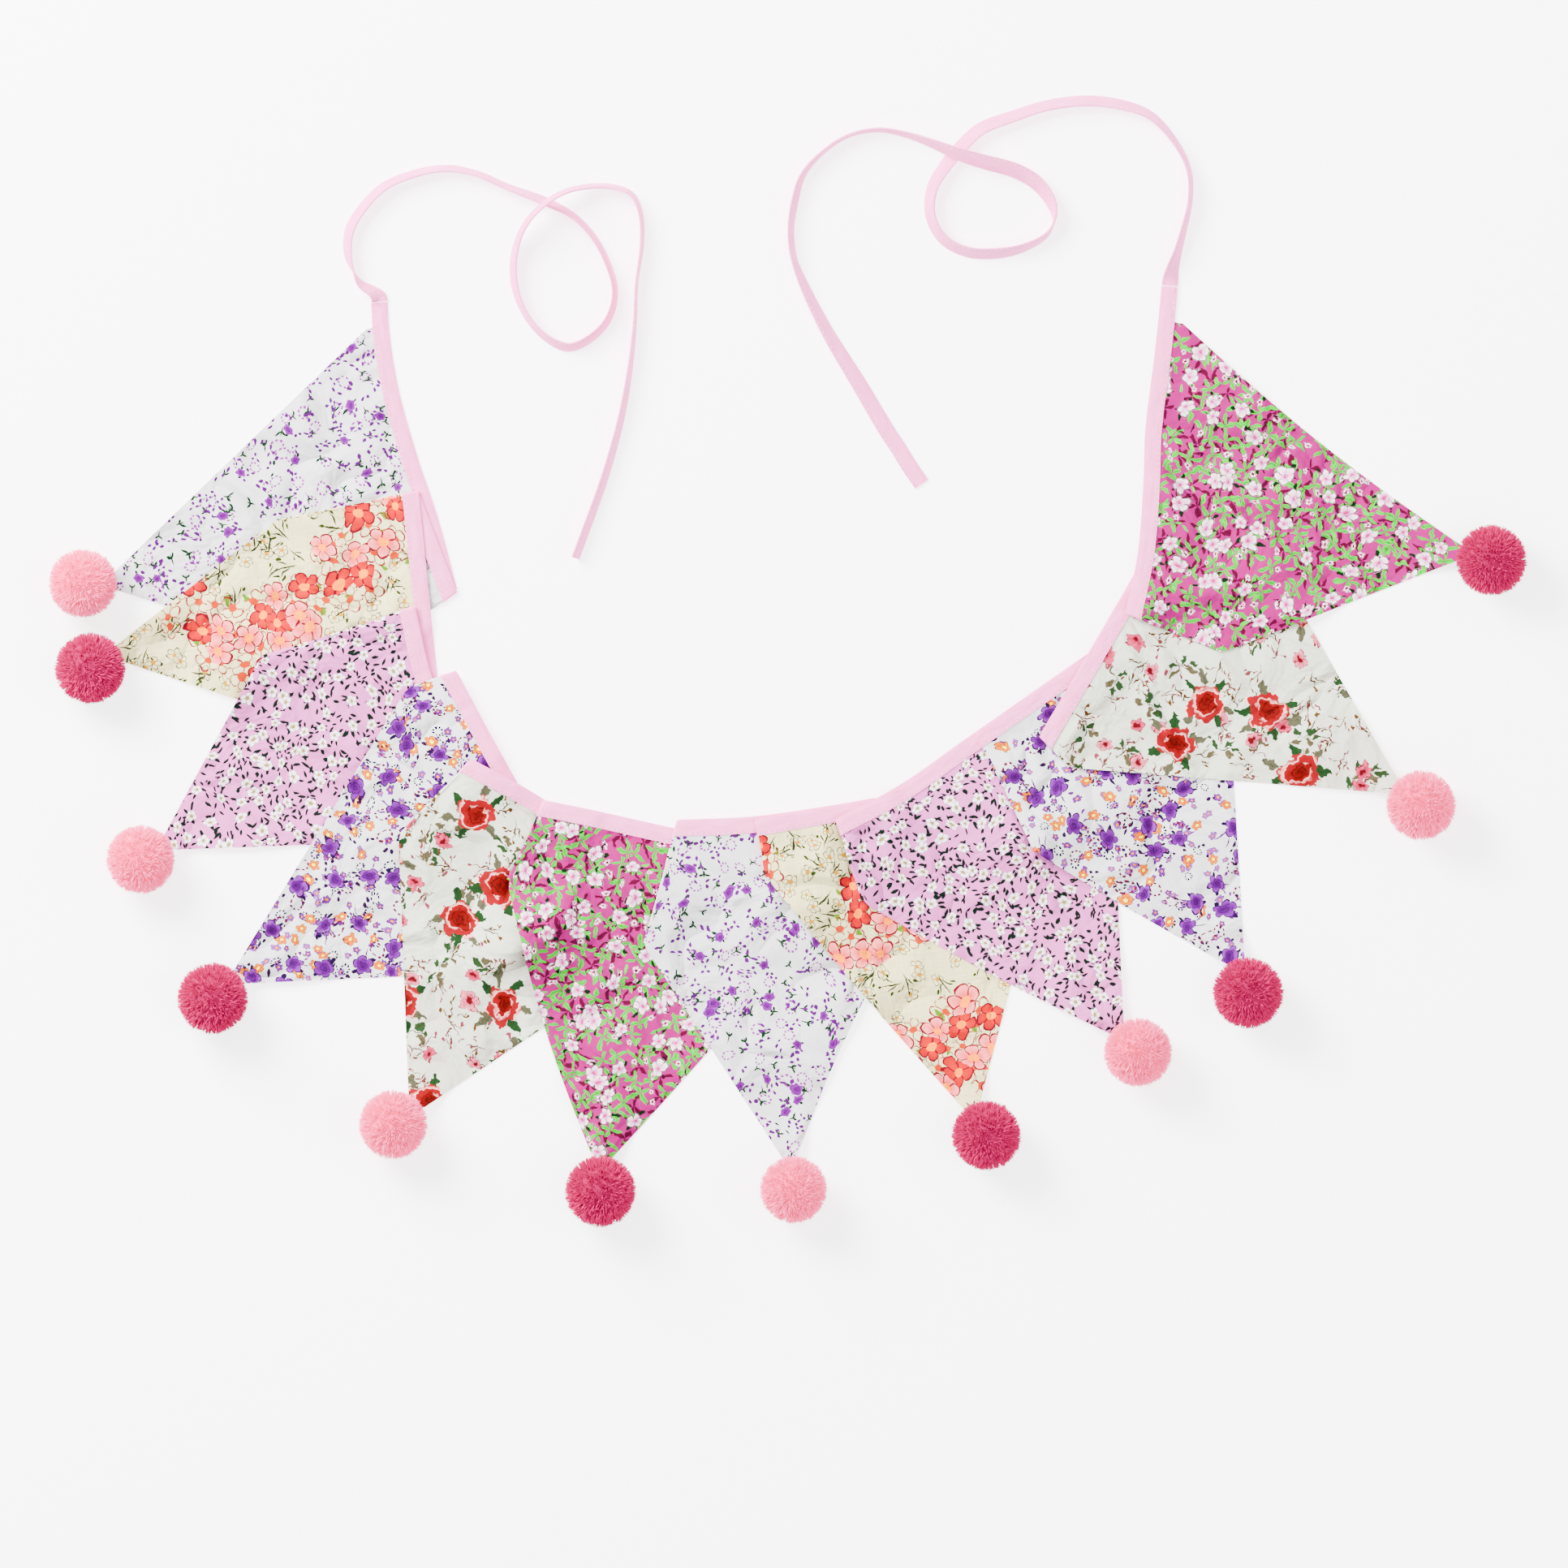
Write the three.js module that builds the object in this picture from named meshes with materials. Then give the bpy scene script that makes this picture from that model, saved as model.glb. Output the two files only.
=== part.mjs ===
import * as THREE from 'three';
import { mergeVertices } from 'three/addons/utils/BufferGeometryUtils.js';

// Fabric bunting laid out on a flat surface, in millimetres.
// Twelve cotton pennants hang on one folded tape, whose two long ends are free ties.
// Each pennant carries a yarn pompom at its tip. The string is laid down in a U:
// the tape is doubled back between two pennants, so each pennant starts with a corner
// folded under it and lies on the end of the one before, whose own corner is folded up.
// X runs right, Y away from the lowest pompoms, Z up, and the floor is Z = 0.

// Cloth and tape
const CLOTH = 1.0;
const TAPE_WIDTH = 9.2;
const TAPE_LEAF = 0.4;
const CLEAR = 0.3;
const TAPE_DEPTH = CLOTH + 2 * (CLEAR + TAPE_LEAF);
const CLOTH_INSET = TAPE_LEAF + CLEAR;
const SEAM_DROP = 5;
const CORNER_SPACING = 7;
const TURN_ROOM = 1.6;

// Pennant mesh: steps between ribs, and how far down each rib the cloth points lie
const MAIN_STEPS = 8;
const FLAP_STEPS = 2;
const TURN_STEPS = 3;
const DOWN_RIB = [0.25, 0.5, 0.74, 0.9, 1];
const TIP_HALF_WIDTH = 1.5;
const TIP_SPREAD = 0.02;

// How cloth lies over cloth
const MAP_CELL = 1;
const MAP_REACH_X = 430;
const MAP_REACH_Y = 340;
const EDGE_MARGIN = 3;
const SETTLE_PASSES = 4;
const DRAPE_PASSES = 1;
const RIPPLE_HEIGHT = 1.2;
const RIPPLE_LENGTH_X = 96;
const RIPPLE_LENGTH_Y = 74;
const TIP_LIFT_REACH = 34;

// Pompoms
const CORE_SHARE = 0.67;
const LOCK_SHOULDER = 0.93;
const LOCK_INSET = 0.15;
const LOCK_UNEVEN = 0.05;
const POMPOM_SINK = 1.4;
const ENTRY_ANGLE = THREE.MathUtils.degToRad(38);
const TIP_SEAT = -0.4;
const LOCKS_PER_SIDE = 2;
const PARTING_FACE = 0;
const POMPOM_SPIN = 0.7;

// Ties: the same tape sewn shut
const TIE_WIDTH = 9.2;
const TIE_THICKNESS = 1.2;
const TIE_STEPS_PER_ROW = 2;

// Colours and finishes
const COTTON = { roughness: 0.9, metalness: 0 };
const TAPE_PINK = { color: 0xf4cfe0, roughness: 0.75, metalness: 0 };
const YARN = {
  light: { color: 0xffafba, roughness: 1, metalness: 0 },
  deep: { color: 0xe8357c, roughness: 1, metalness: 0 },
};
const PRINTS = {
  violetBuds: { color: 0xe6e4ee, ...COTTON },
  coralFlowers: { color: 0xefe2cf, ...COTTON },
  lilacPosies: { color: 0xe8bfe3, ...COTTON },
  violetRoses: { color: 0xdcd3ea, ...COTTON },
  redRoses: { color: 0xe9e3dc, ...COTTON },
  limeRoses: { color: 0xdc3f93, ...COTTON },
};

// One row for each pennant, in the order of the tape.
// edge: the tape's outer edge along the top layer, from its first fold to its last.
// foldSide and turnSide: where those two folds leave the cloth's side edges.
// corner: the share of the doubled-back tape that belongs to the corner folded under.
// bows: how far each side edge swells outwards between the fold and the tip.
const PENNANTS = [
  {
    print: 'violetBuds', tip: [-382, 42], pompom: [-391, 43], size: 19.2, yarn: 'light',
    foldSide: [-234, 184], turnSide: [-238, -2], corner: 0, bows: [0, 0],
    edge: [[-222, 199], [-221, 182], [-216, 151], [-206, 115], [-194, 79], [-183, 38]],
  },
  {
    print: 'coralFlowers', tip: [-379, 4], pompom: [-387, -4], size: 19.9, yarn: 'deep',
    foldSide: [-281, 80], turnSide: [-212, -52], corner: 0.6, bows: [0, 0],
    edge: [[-205, 95], [-196, 7], [-189, -65]],
  },
  {
    print: 'lilacPosies', tip: [-349, -104], pompom: [-359, -110], size: 19.2, yarn: 'light',
    foldSide: [-292, 3], turnSide: [-207, -100], corner: 0.75, bows: [0, 0],
    edge: [[-207, 31], [-198, -7], [-187, -32], [-167, -72]],
  },
  {
    print: 'violetRoses', tip: [-312, -179], pompom: [-319, -187], size: 19.9, yarn: 'deep',
    foldSide: [-210, -13], turnSide: [-170, -173], corner: 0.33, bows: [0, 0],
    edge: [[-184, -5], [-168, -35], [-152, -64], [-117, -128]],
  },
  {
    print: 'redRoses', tip: [-212, -254], pompom: [-219, -257], size: 19.2, yarn: 'light',
    foldSide: [-216, -95], turnSide: [-92, -174], corner: 0.49, bows: [0, 0],
    edge: [[-176, -54], [-138, -75], [-65, -127]],
  },
  {
    print: 'limeRoses', tip: [-105, -284], pompom: [-104, -294], size: 19.9, yarn: 'deep',
    foldSide: [-156, -121], turnSide: [16, -147], corner: 0.43, bows: [4.5, 1],
    edge: [[-136, -77], [-111, -82], [-66, -92], [10, -108]],
  },
  {
    print: 'violetBuds', tip: [2, -284], pompom: [3, -293], size: 18.8, yarn: 'light',
    foldSide: [-81, -156], turnSide: [46, -180], corner: 0.78, bows: [0, -2],
    edge: [[-62, -88], [-18, -86], [49, -76]],
  },
  {
    print: 'coralFlowers', tip: [105, -257], pompom: [110, -263], size: 19.5, yarn: 'deep',
    foldSide: [-12, -120], turnSide: [139, -121], corner: 0.33, bows: [1.5, 0],
    edge: [[-19, -88], [27, -80], [118, -66]],
  },
  {
    print: 'lilacPosies', tip: [187, -211], pompom: [194, -217], size: 19.2, yarn: 'light',
    foldSide: [40, -133], turnSide: [178, -22], corner: 0.43, bows: [2, 0],
    edge: [[26, -88], [63, -68], [103, -40], [160, -4]],
  },
  {
    print: 'violetRoses', tip: [254, -176], pompom: [255, -184], size: 19.9, yarn: 'deep',
    foldSide: [137, -106], turnSide: [246, -48], corner: 0.66, bows: [1, 0],
    edge: [[103, -40], [153, -5], [189, 20]],
  },
  {
    print: 'redRoses', tip: [344, -75], pompom: [351, -80], size: 19.5, yarn: 'light',
    foldSide: [155, -59], turnSide: [260, 71], corner: 0.33, bows: [0, 0],
    edge: [[139, -42], [165, 2], [194, 52], [217, 93]],
  },
  {
    print: 'limeRoses', tip: [381, 59], pompom: [390, 56], size: 19.9, yarn: 'deep',
    foldSide: [239, 4], turnSide: [219, 187], corner: 0.62, bows: [0, -4.5],
    edge: [[187, 26], [194, 61], [197, 100], [198, 128], [203, 169], [205.5, 192], [207, 208]],
  },
];
const FIRST_CLOTH_SHARE = 0.075;
const LAST_CLOTH_SHARE = 0.9;

// Tie routes from the tape outwards. roll is the turn about the route, 0 flat and
// 90 on edge; lift is the extra height where a tie passes over itself.
const TIES = {
  tie_left: [
    { at: [-226.6, 199.2], roll: 0, lift: 0.7 },
    { at: [-226.9, 201.2], roll: 12, lift: 0.5 },
    { at: [-230, 204.6], roll: 48, lift: 0.1 },
    { at: [-237, 209], roll: 66, lift: 0 },
    { at: [-241, 216], roll: 92, lift: 0 },
    { at: [-244, 226], roll: 116, lift: 0 },
    { at: [-243, 239], roll: 122, lift: 0 },
    { at: [-236, 251], roll: 121, lift: 0 },
    { at: [-224, 263], roll: 118, lift: 0 },
    { at: [-204, 271], roll: 114, lift: 0 },
    { at: [-188, 273], roll: 112, lift: 0 },
    { at: [-172, 270], roll: 108, lift: 0 },
    { at: [-156, 263], roll: 110, lift: 0 },
    { at: [-135, 255], roll: 118, lift: 0 },
    { at: [-121, 248], roll: 110, lift: 0 },
    { at: [-111, 239], roll: 108, lift: 0 },
    { at: [-102, 225], roll: 108, lift: 0 },
    { at: [-96, 205], roll: 108, lift: 0 },
    { at: [-100, 189], roll: 113, lift: 0 },
    { at: [-111, 178], roll: 118, lift: 0 },
    { at: [-122, 174], roll: 119, lift: 0 },
    { at: [-135, 180], roll: 112, lift: 0 },
    { at: [-146, 193], roll: 108, lift: 0 },
    { at: [-152, 211], roll: 112, lift: 0 },
    { at: [-151, 229], roll: 110, lift: 1.5 },
    { at: [-145, 243], roll: 107, lift: 7.6 },
    { at: [-135, 253.5], roll: 106, lift: 9.6 },
    { at: [-124, 260], roll: 105, lift: 7.6 },
    { at: [-111, 263], roll: 104, lift: 2 },
    { at: [-98, 263], roll: 104, lift: 0 },
    { at: [-87, 259], roll: 103, lift: 0 },
    { at: [-82, 249], roll: 102, lift: 0 },
    { at: [-81, 232], roll: 100, lift: 0 },
    { at: [-84, 209], roll: 96, lift: 0 },
    { at: [-85, 187], roll: 99, lift: 0 },
    { at: [-88, 160], roll: 106, lift: 0 },
    { at: [-93, 133], roll: 112, lift: 0 },
    { at: [-102, 101], roll: 116, lift: 0 },
    { at: [-112, 73], roll: 117, lift: 0 },
    { at: [-118, 57], roll: 117, lift: 0 },
  ],
  tie_right: [
    { at: [211.6, 208.1], roll: 0, lift: 0.7 },
    { at: [211.8, 210.6], roll: 8, lift: 0.6 },
    { at: [213, 217], roll: 40, lift: 0.1 },
    { at: [216, 227], roll: 62, lift: 0 },
    { at: [219, 238], roll: 70, lift: 0 },
    { at: [223, 256], roll: 77, lift: 0 },
    { at: [222, 273], roll: 76, lift: 0 },
    { at: [213, 290], roll: 70, lift: 0 },
    { at: [200, 303], roll: 62, lift: 0 },
    { at: [184, 308.5], roll: 54, lift: 0 },
    { at: [166, 310.5], roll: 52, lift: 0 },
    { at: [144, 308], roll: 52, lift: 0 },
    { at: [125, 302], roll: 48, lift: 0 },
    { at: [107, 295], roll: 42, lift: 0 },
    { at: [96, 285], roll: 38, lift: 0 },
    { at: [87, 274], roll: 42, lift: 0 },
    { at: [80, 262], roll: 50, lift: 0 },
    { at: [79, 247], roll: 54, lift: 0 },
    { at: [86, 234], roll: 54, lift: 0 },
    { at: [99, 227], roll: 53, lift: 0 },
    { at: [114, 226], roll: 52, lift: 0 },
    { at: [130, 229], roll: 62, lift: 0 },
    { at: [143, 236], roll: 76, lift: 0 },
    { at: [147.5, 244], roll: 95, lift: 0 },
    { at: [146, 254], roll: 128, lift: 0.5 },
    { at: [138, 265], roll: 150, lift: 2 },
    { at: [126, 272], roll: 156, lift: 4.6 },
    { at: [110, 276.5], roll: 152, lift: 7 },
    { at: [95, 281], roll: 138, lift: 7.6 },
    { at: [80, 287], roll: 120, lift: 4.6 },
    { at: [65, 292], roll: 108, lift: 0.6 },
    { at: [50, 294.5], roll: 102, lift: 0 },
    { at: [33, 291], roll: 99, lift: 0 },
    { at: [18, 281], roll: 101, lift: 0 },
    { at: [8, 269], roll: 108, lift: 0 },
    { at: [3.5, 254], roll: 114, lift: 0 },
    { at: [1.5, 239], roll: 110, lift: 0 },
    { at: [3, 224], roll: 110, lift: 0 },
    { at: [9, 208], roll: 122, lift: 0 },
    { at: [22, 182], roll: 138, lift: 0 },
    { at: [39, 154], roll: 158, lift: 0 },
    { at: [55, 127], roll: 176, lift: 0 },
    { at: [61, 118], roll: 180, lift: 0 },
    { at: [66.5, 109], roll: 180, lift: 0 },
    { at: [74, 98], roll: 180, lift: 0 },
  ],
};

const plan = ([x, y]) => new THREE.Vector2(x, y);
const mix = (a, b, share) => a.clone().lerp(b, share);
const towards = (a, b) => b.clone().sub(a).normalize();
const cross = (a, b) => a.x * b.y - a.y * b.x;

// A map of the heights reached so far, in square cells
class HeightMap {
  constructor() {
    this.columns = Math.ceil((2 * MAP_REACH_X) / MAP_CELL);
    this.rows = Math.ceil((2 * MAP_REACH_Y) / MAP_CELL);
    this.heights = new Float32Array(this.columns * this.rows);
  }

  // Calls visit(cell, weights) for each cell within margin of triangle abc in plan
  visitUnder(corners, margin, visit) {
    const [a, b, c] = corners;
    const xs = corners.map((p) => p.x);
    const ys = corners.map((p) => p.y);
    const first = (value, reach) => Math.max(0, Math.floor((value - margin + reach) / MAP_CELL));
    const last = (value, reach, count) =>
      Math.min(count - 1, Math.ceil((value + margin + reach) / MAP_CELL));
    const area = cross(b.clone().sub(a), c.clone().sub(a));
    const lastColumn = last(Math.max(...xs), MAP_REACH_X, this.columns);
    const lastRow = last(Math.max(...ys), MAP_REACH_Y, this.rows);
    const p = new THREE.Vector2();
    for (let row = first(Math.min(...ys), MAP_REACH_Y); row <= lastRow; row += 1) {
      for (let column = first(Math.min(...xs), MAP_REACH_X); column <= lastColumn; column += 1) {
        p.set((column + 0.5) * MAP_CELL - MAP_REACH_X, (row + 0.5) * MAP_CELL - MAP_REACH_Y);
        const weights = [weight(p, b, c, area), weight(p, c, a, area), weight(p, a, b, area)];
        const inside = Math.min(...weights) >= 0;
        if (inside || distanceToSides(p, corners) <= margin) {
          visit(row * this.columns + column, weights);
        }
      }
    }
  }

  cellAt(p) {
    const column = Math.floor((p.x + MAP_REACH_X) / MAP_CELL);
    return Math.floor((p.y + MAP_REACH_Y) / MAP_CELL) * this.columns + column;
  }

  // The middle height of a sheet that rests on a cell
  restOn(cell, depth) {
    const level = this.heights[cell];
    return depth / 2 + (level > 0 ? level + CLEAR : 0);
  }

  // corners carry their top height as .z
  raise(corners) {
    const highest = Math.max(...corners.map((p) => p.z));
    const slack = slackOf(corners);
    this.visitUnder(corners.map(flat), MAP_CELL, (cell, weights) => {
      const top = Math.min(highest, heightAt(corners, share(weights)) + slack);
      this.heights[cell] = Math.max(this.heights[cell], top);
    });
  }
}

// Brings a place beside a triangle back to its nearest edge
function share(weights) {
  const inside = weights.map((w) => Math.max(0, w));
  const total = inside[0] + inside[1] + inside[2];
  return total > 0 ? inside.map((w) => w / total) : [1 / 3, 1 / 3, 1 / 3];
}

function weight(p, from, to, area) {
  const part = (to.x - from.x) * (p.y - from.y) - (to.y - from.y) * (p.x - from.x);
  return Math.abs(area) < 1e-6 ? -1 : part / area;
}

const heightAt = (corners, weights) => corners.reduce((sum, p, i) => sum + p.z * weights[i], 0);

// How much a sloping triangle's height changes from the middle of a cell to its corner,
// for slopes up to one in two
function slackOf([a, b, c]) {
  const normal = b.clone().sub(a).cross(c.clone().sub(a));
  const slope = Math.hypot(normal.x, normal.y) / Math.max(1e-6, Math.abs(normal.z));
  return Math.min(slope, 0.5) * MAP_CELL * Math.SQRT1_2;
}

function distanceToSides(p, corners) {
  let nearest = Infinity;
  corners.forEach((from, i) => {
    const to = corners[(i + 1) % 3];
    const side = to.clone().sub(from);
    const along = p.clone().sub(from).dot(side) / (side.lengthSq() || 1);
    const foot = mix(from, to, THREE.MathUtils.clamp(along, 0, 1));
    nearest = Math.min(nearest, foot.distanceTo(p));
  });
  return nearest;
}

// A rib crosses the tape at root and runs down the cloth to free.
// Its points are the tape's two edges, then the cloth down to the side edge.
function makeRib(root, free, alongTape, tapeOnly = false) {
  const down = towards(root, free);
  const slant = Math.max(0.4, Math.abs(cross(alongTape, down)));
  const tapeEnd = TAPE_WIDTH / slant;
  const length = root.distanceTo(free);
  const cloth = length - tapeEnd;
  const distances = [0, tapeEnd];
  if (!tapeOnly) {
    distances.push(tapeEnd + Math.min(SEAM_DROP, 0.15 * cloth));
    DOWN_RIB.forEach((share) => distances.push(tapeEnd + share * cloth));
  }
  const points = distances.map((distance) => {
    const p = root.clone().addScaledVector(down, distance);
    return new THREE.Vector3(p.x, p.y, 0);
  });
  return { points, tapeOnly, face: new THREE.Vector2(), up: 1, endsCloth: false };
}

function tapeEdge(row) {
  const points = row.edge.map(([x, y]) => new THREE.Vector3(x, y, 0));
  return new THREE.CatmullRomCurve3(points, false, 'centripetal');
}

const flat = (p) => new THREE.Vector2(p.x, p.y);

// A rib straight across the bare tape, on the side where the cloth lies
function squareRib(edge, u, clothPoint) {
  const root = flat(edge.getPointAt(u));
  const tangent = flat(edge.getTangentAt(u));
  const across = new THREE.Vector2(-tangent.y, tangent.x);
  if (across.dot(towards(root, clothPoint)) < 0) {
    across.negate();
  }
  return makeRib(root, root.clone().addScaledVector(across, TAPE_WIDTH), tangent, true);
}

// The pennant's tip sits in the parting of its pompom, just clear of the core
function tipPlace(row) {
  const centre = plan(row.pompom);
  const reach = row.size * CORE_SHARE + TIP_SEAT;
  const out = towards(centre, plan(row.tip));
  const place = centre.addScaledVector(out, reach * Math.cos(ENTRY_ANGLE));
  return { place, height: row.size - POMPOM_SINK - reach * Math.sin(ENTRY_ANGLE) };
}

// The top layer of a pennant: ribs fan out from the tape to the two side edges
function mainRibs(row, index) {
  const edge = tapeEdge(row);
  const from = index === 0 ? FIRST_CLOTH_SHARE : 0;
  const to = index === PENNANTS.length - 1 ? LAST_CLOTH_SHARE : 1;
  const tip = tipPlace(row).place;
  const foldSide = plan(row.foldSide);
  const turnSide = plan(row.turnSide);
  const firstLength = foldSide.distanceTo(tip);
  const share = firstLength / (firstLength + turnSide.distanceTo(tip));
  const firstSteps = Math.round((MAIN_STEPS - 1) * share);
  const secondSteps = MAIN_STEPS - 1 - firstSteps;
  const tipFrom = THREE.MathUtils.lerp(from, to, share) - TIP_SPREAD;
  const tipTo = tipFrom + 2 * TIP_SPREAD;
  const nearTip = tip.clone().addScaledVector(towards(tip, foldSide), TIP_HALF_WIDTH);
  const pastTip = tip.clone().addScaledVector(towards(tip, turnSide), TIP_HALF_WIDTH);
  const ribAt = (u, free) => makeRib(flat(edge.getPointAt(u)), free, flat(edge.getTangentAt(u)));
  const inside = mix(foldSide, turnSide, 0.5);
  const sideAt = (a, b, step, bow) => {
    const along = towards(a, b);
    const out = new THREE.Vector2(-along.y, along.x);
    const side = out.dot(towards(a, inside)) > 0 ? -1 : 1;
    return mix(a, b, step).addScaledVector(out, side * bow * Math.sin(Math.PI * step));
  };
  const ribs = [];
  for (let i = 0; i <= firstSteps; i += 1) {
    const step = i / firstSteps;
    const free = sideAt(foldSide, nearTip, step, row.bows[0]);
    ribs.push(ribAt(THREE.MathUtils.lerp(from, tipFrom, step), free));
  }
  for (let i = 0; i <= secondSteps; i += 1) {
    const step = i / secondSteps;
    const free = sideAt(pastTip, turnSide, step, row.bows[1]);
    ribs.push(ribAt(THREE.MathUtils.lerp(tipTo, to, step), free));
  }
  if (from > 0) {
    ribs.unshift(squareRib(edge, 0, tip));
  }
  if (to < 1) {
    ribs.push(squareRib(edge, 1, tip));
  }
  return ribs;
}

// A folded-under corner: ribs from near the cloth's corner to the fold line
function flapRibs(corner, foldTape, foldSide) {
  const alongTape = towards(corner, foldTape);
  const start = corner.clone().addScaledVector(alongTape, CORNER_SPACING);
  const side = towards(corner, foldSide);
  const rise = Math.abs(cross(alongTape, side)) / Math.max(0.3, alongTape.dot(side));
  const across = foldSide.clone().sub(start);
  across.addScaledVector(alongTape, -across.dot(alongTape)).normalize();
  const free = start.clone().addScaledVector(across, Math.max(TAPE_WIDTH + 2, CORNER_SPACING * rise));
  const ribs = [];
  for (let i = 0; i <= FLAP_STEPS; i += 1) {
    const step = i / FLAP_STEPS;
    ribs.push(makeRib(mix(start, foldTape, step), mix(free, foldSide, step), alongTape));
  }
  return ribs;
}

// The way out of the cloth across a fold line
function foldDirection(fold, inner) {
  const root = flat(fold.points[0]);
  const line = towards(root, flat(fold.points[fold.points.length - 1]));
  const out = new THREE.Vector2(-line.y, line.x);
  if (out.dot(towards(root, flat(inner.points[0]))) > 0) {
    out.negate();
  }
  return out;
}

function shift(rib, out, distance) {
  rib.points.forEach((p) => {
    p.x += out.x * distance;
    p.y += out.y * distance;
  });
}

const thickness = (column) => (column === 0 ? TAPE_DEPTH : CLOTH);

// Visits the triangles between neighbouring ribs; column 0 is the tape
function eachTriangle(ribs, visit) {
  for (let i = 0; i + 1 < ribs.length; i += 1) {
    const bare = ribs[i].tapeOnly || ribs[i + 1].tapeOnly || ribs[i].endsCloth;
    const columns = bare ? 1 : ribs[i].points.length - 1;
    for (let j = 0; j < columns; j += 1) {
      const near = [ribs[i].points[j], ribs[i].points[j + 1]];
      const far = [ribs[i + 1].points[j], ribs[i + 1].points[j + 1]];
      visit([near[0], far[0], far[1]], thickness(j));
      visit([near[0], far[1], near[1]], thickness(j));
    }
  }
}

function ripple(p) {
  const phase = 2 * Math.PI * (p.x / RIPPLE_LENGTH_X + p.y / RIPPLE_LENGTH_Y);
  return RIPPLE_HEIGHT * (0.5 + 0.5 * Math.sin(phase));
}

// Lays one layer on the floor and on what lies there already. Each contact is a spot
// of the map under a triangle. The points start at the height under them, are lifted
// where a contact needs it, and then sink as far as their contacts let them.
function layDown(ribs, map, tip) {
  const contacts = [];
  eachTriangle(ribs, (corners, depth) => {
    corners.forEach((p) => {
      p.z = Math.max(p.z, map.restOn(map.cellAt(p), depth));
    });
    map.visitUnder(corners.map(flat), EDGE_MARGIN, (cell, weights) => {
      contacts.push({ corners, weights: share(weights), height: map.restOn(cell, depth), slack: 0 });
    });
  });
  settle(contacts);
  contacts.forEach((contact) => {
    contact.slack = contact.height > TAPE_DEPTH ? slackOf(contact.corners) : 0;
  });
  settle(contacts);
  if (tip) {
    loosen(ribs, tip);
  }
  for (let pass = 0; pass < DRAPE_PASSES; pass += 1) {
    smoothOnce(ribs);
  }
  ribs.forEach((rib) => {
    const level = Math.max(rib.points[0].z, rib.points[1].z);
    rib.points[0].z = level;
    rib.points[1].z = level;
  });
  eachTriangle(ribs, (corners, depth) => {
    map.raise(corners.map((p) => new THREE.Vector3(p.x, p.y, p.z + depth / 2)));
  });
}

const missingAt = ({ corners, weights, height, slack }) => height + slack - heightAt(corners, weights);

// Lifts the corners where a contact needs it, none above the highest contact around it,
// then lets each sink as far as its contacts let it
function settle(contacts) {
  const held = new Map();
  contacts.forEach((contact) => contact.corners.forEach((p, i) => {
    if (contact.weights[i] > 0.01) {
      const holds = held.get(p) ?? [];
      holds.push({ contact, part: contact.weights[i] });
      held.set(p, holds);
    }
  }));
  const limit = new Map();
  held.forEach((holds, p) => {
    limit.set(p, Math.max(...holds.map(({ contact }) => contact.height + contact.slack)));
    p.z = Math.min(p.z, limit.get(p));
  });
  for (let pass = 0; pass < SETTLE_PASSES; pass += 1) {
    contacts.forEach((contact) => lift(contact, limit));
    held.forEach((holds, p) => {
      const room = holds.map(({ contact, part }) => -missingAt(contact) / part);
      p.z -= Math.max(0, Math.min(...room));
    });
  }
  contacts.filter((contact) => missingAt(contact) > 0).forEach(({ corners }) => {
    corners.forEach((p) => { p.z = Math.max(p.z, limit.get(p) ?? 0); });
  });
}

function lift(contact, limit) {
  const missing = missingAt(contact);
  if (missing > 0) {
    const grip = contact.weights.reduce((sum, w) => sum + w * w, 0);
    contact.corners.forEach((p, i) => {
      const raised = p.z + (missing * contact.weights[i]) / grip;
      p.z = Math.max(p.z, Math.min(raised, limit.get(p) ?? p.z));
    });
  }
}

// Soft ripples where a pennant lies on the floor, and its tip lifted to the pompom
function loosen(ribs, tip) {
  ribs.forEach((rib) => rib.points.forEach((p, j) => {
    const near = Math.min(1, flat(p).distanceTo(tip.place) / TIP_LIFT_REACH);
    if (j > 2 && p.z < CLOTH) {
      p.z += Math.min(1, (j - 2) / 3) * near * ripple(p);
    }
    if (j > 2) {
      p.z = Math.max(p.z, tip.height * (1 - near) ** 1.5);
    }
  }));
}

// Cloth bridges hollows: each point rises to the mean of its neighbours, never sinks
function smoothOnce(ribs) {
  const settled = ribs.map((rib, i) => rib.points.map((p, j) => {
    const around = [rib.points[j - 1], rib.points[j + 1]];
    [ribs[i - 1], ribs[i + 1]].forEach((other) => other && around.push(other.points[j]));
    const near = around.filter(Boolean);
    const mean = near.reduce((sum, q) => sum + q.z, p.z) / (near.length + 1);
    return Math.max(p.z, mean);
  }));
  ribs.forEach((rib, i) => rib.points.forEach((p, j) => {
    p.z = settled[i][j];
  }));
}

// The rounded fold between a pennant's top layer and its turned corner.
// side is 1 where the top layer is above the corner, -1 where it is below.
function turnRibs(main, flap, out, side, map) {
  const rounds = [];
  for (let k = 1; k < TURN_STEPS; k += 1) {
    const angle = (k / TURN_STEPS) * Math.PI;
    const points = main.points.map((p, j) => {
      const radius = Math.abs(p.z - flap.points[j].z) / 2;
      const middle = (p.z + flap.points[j].z) / 2;
      const push = radius * Math.sin(angle);
      const height = middle + side * radius * Math.cos(angle);
      return new THREE.Vector3(p.x + out.x * push, p.y + out.y * push, height);
    });
    const face = out.clone().multiplyScalar(side * Math.sin(angle));
    rounds.push({ points, face, up: Math.cos(angle) });
  }
  const shell = [main, ...rounds, flap].map((rib) => ({
    points: rib.points.map((p, j) => {
      const half = (side * thickness(j)) / 2;
      return new THREE.Vector3(p.x + rib.face.x * half, p.y + rib.face.y * half, p.z + rib.up * half);
    }),
  }));
  eachTriangle(shell, (corners) => map.raise(corners));
  return rounds;
}

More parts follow.
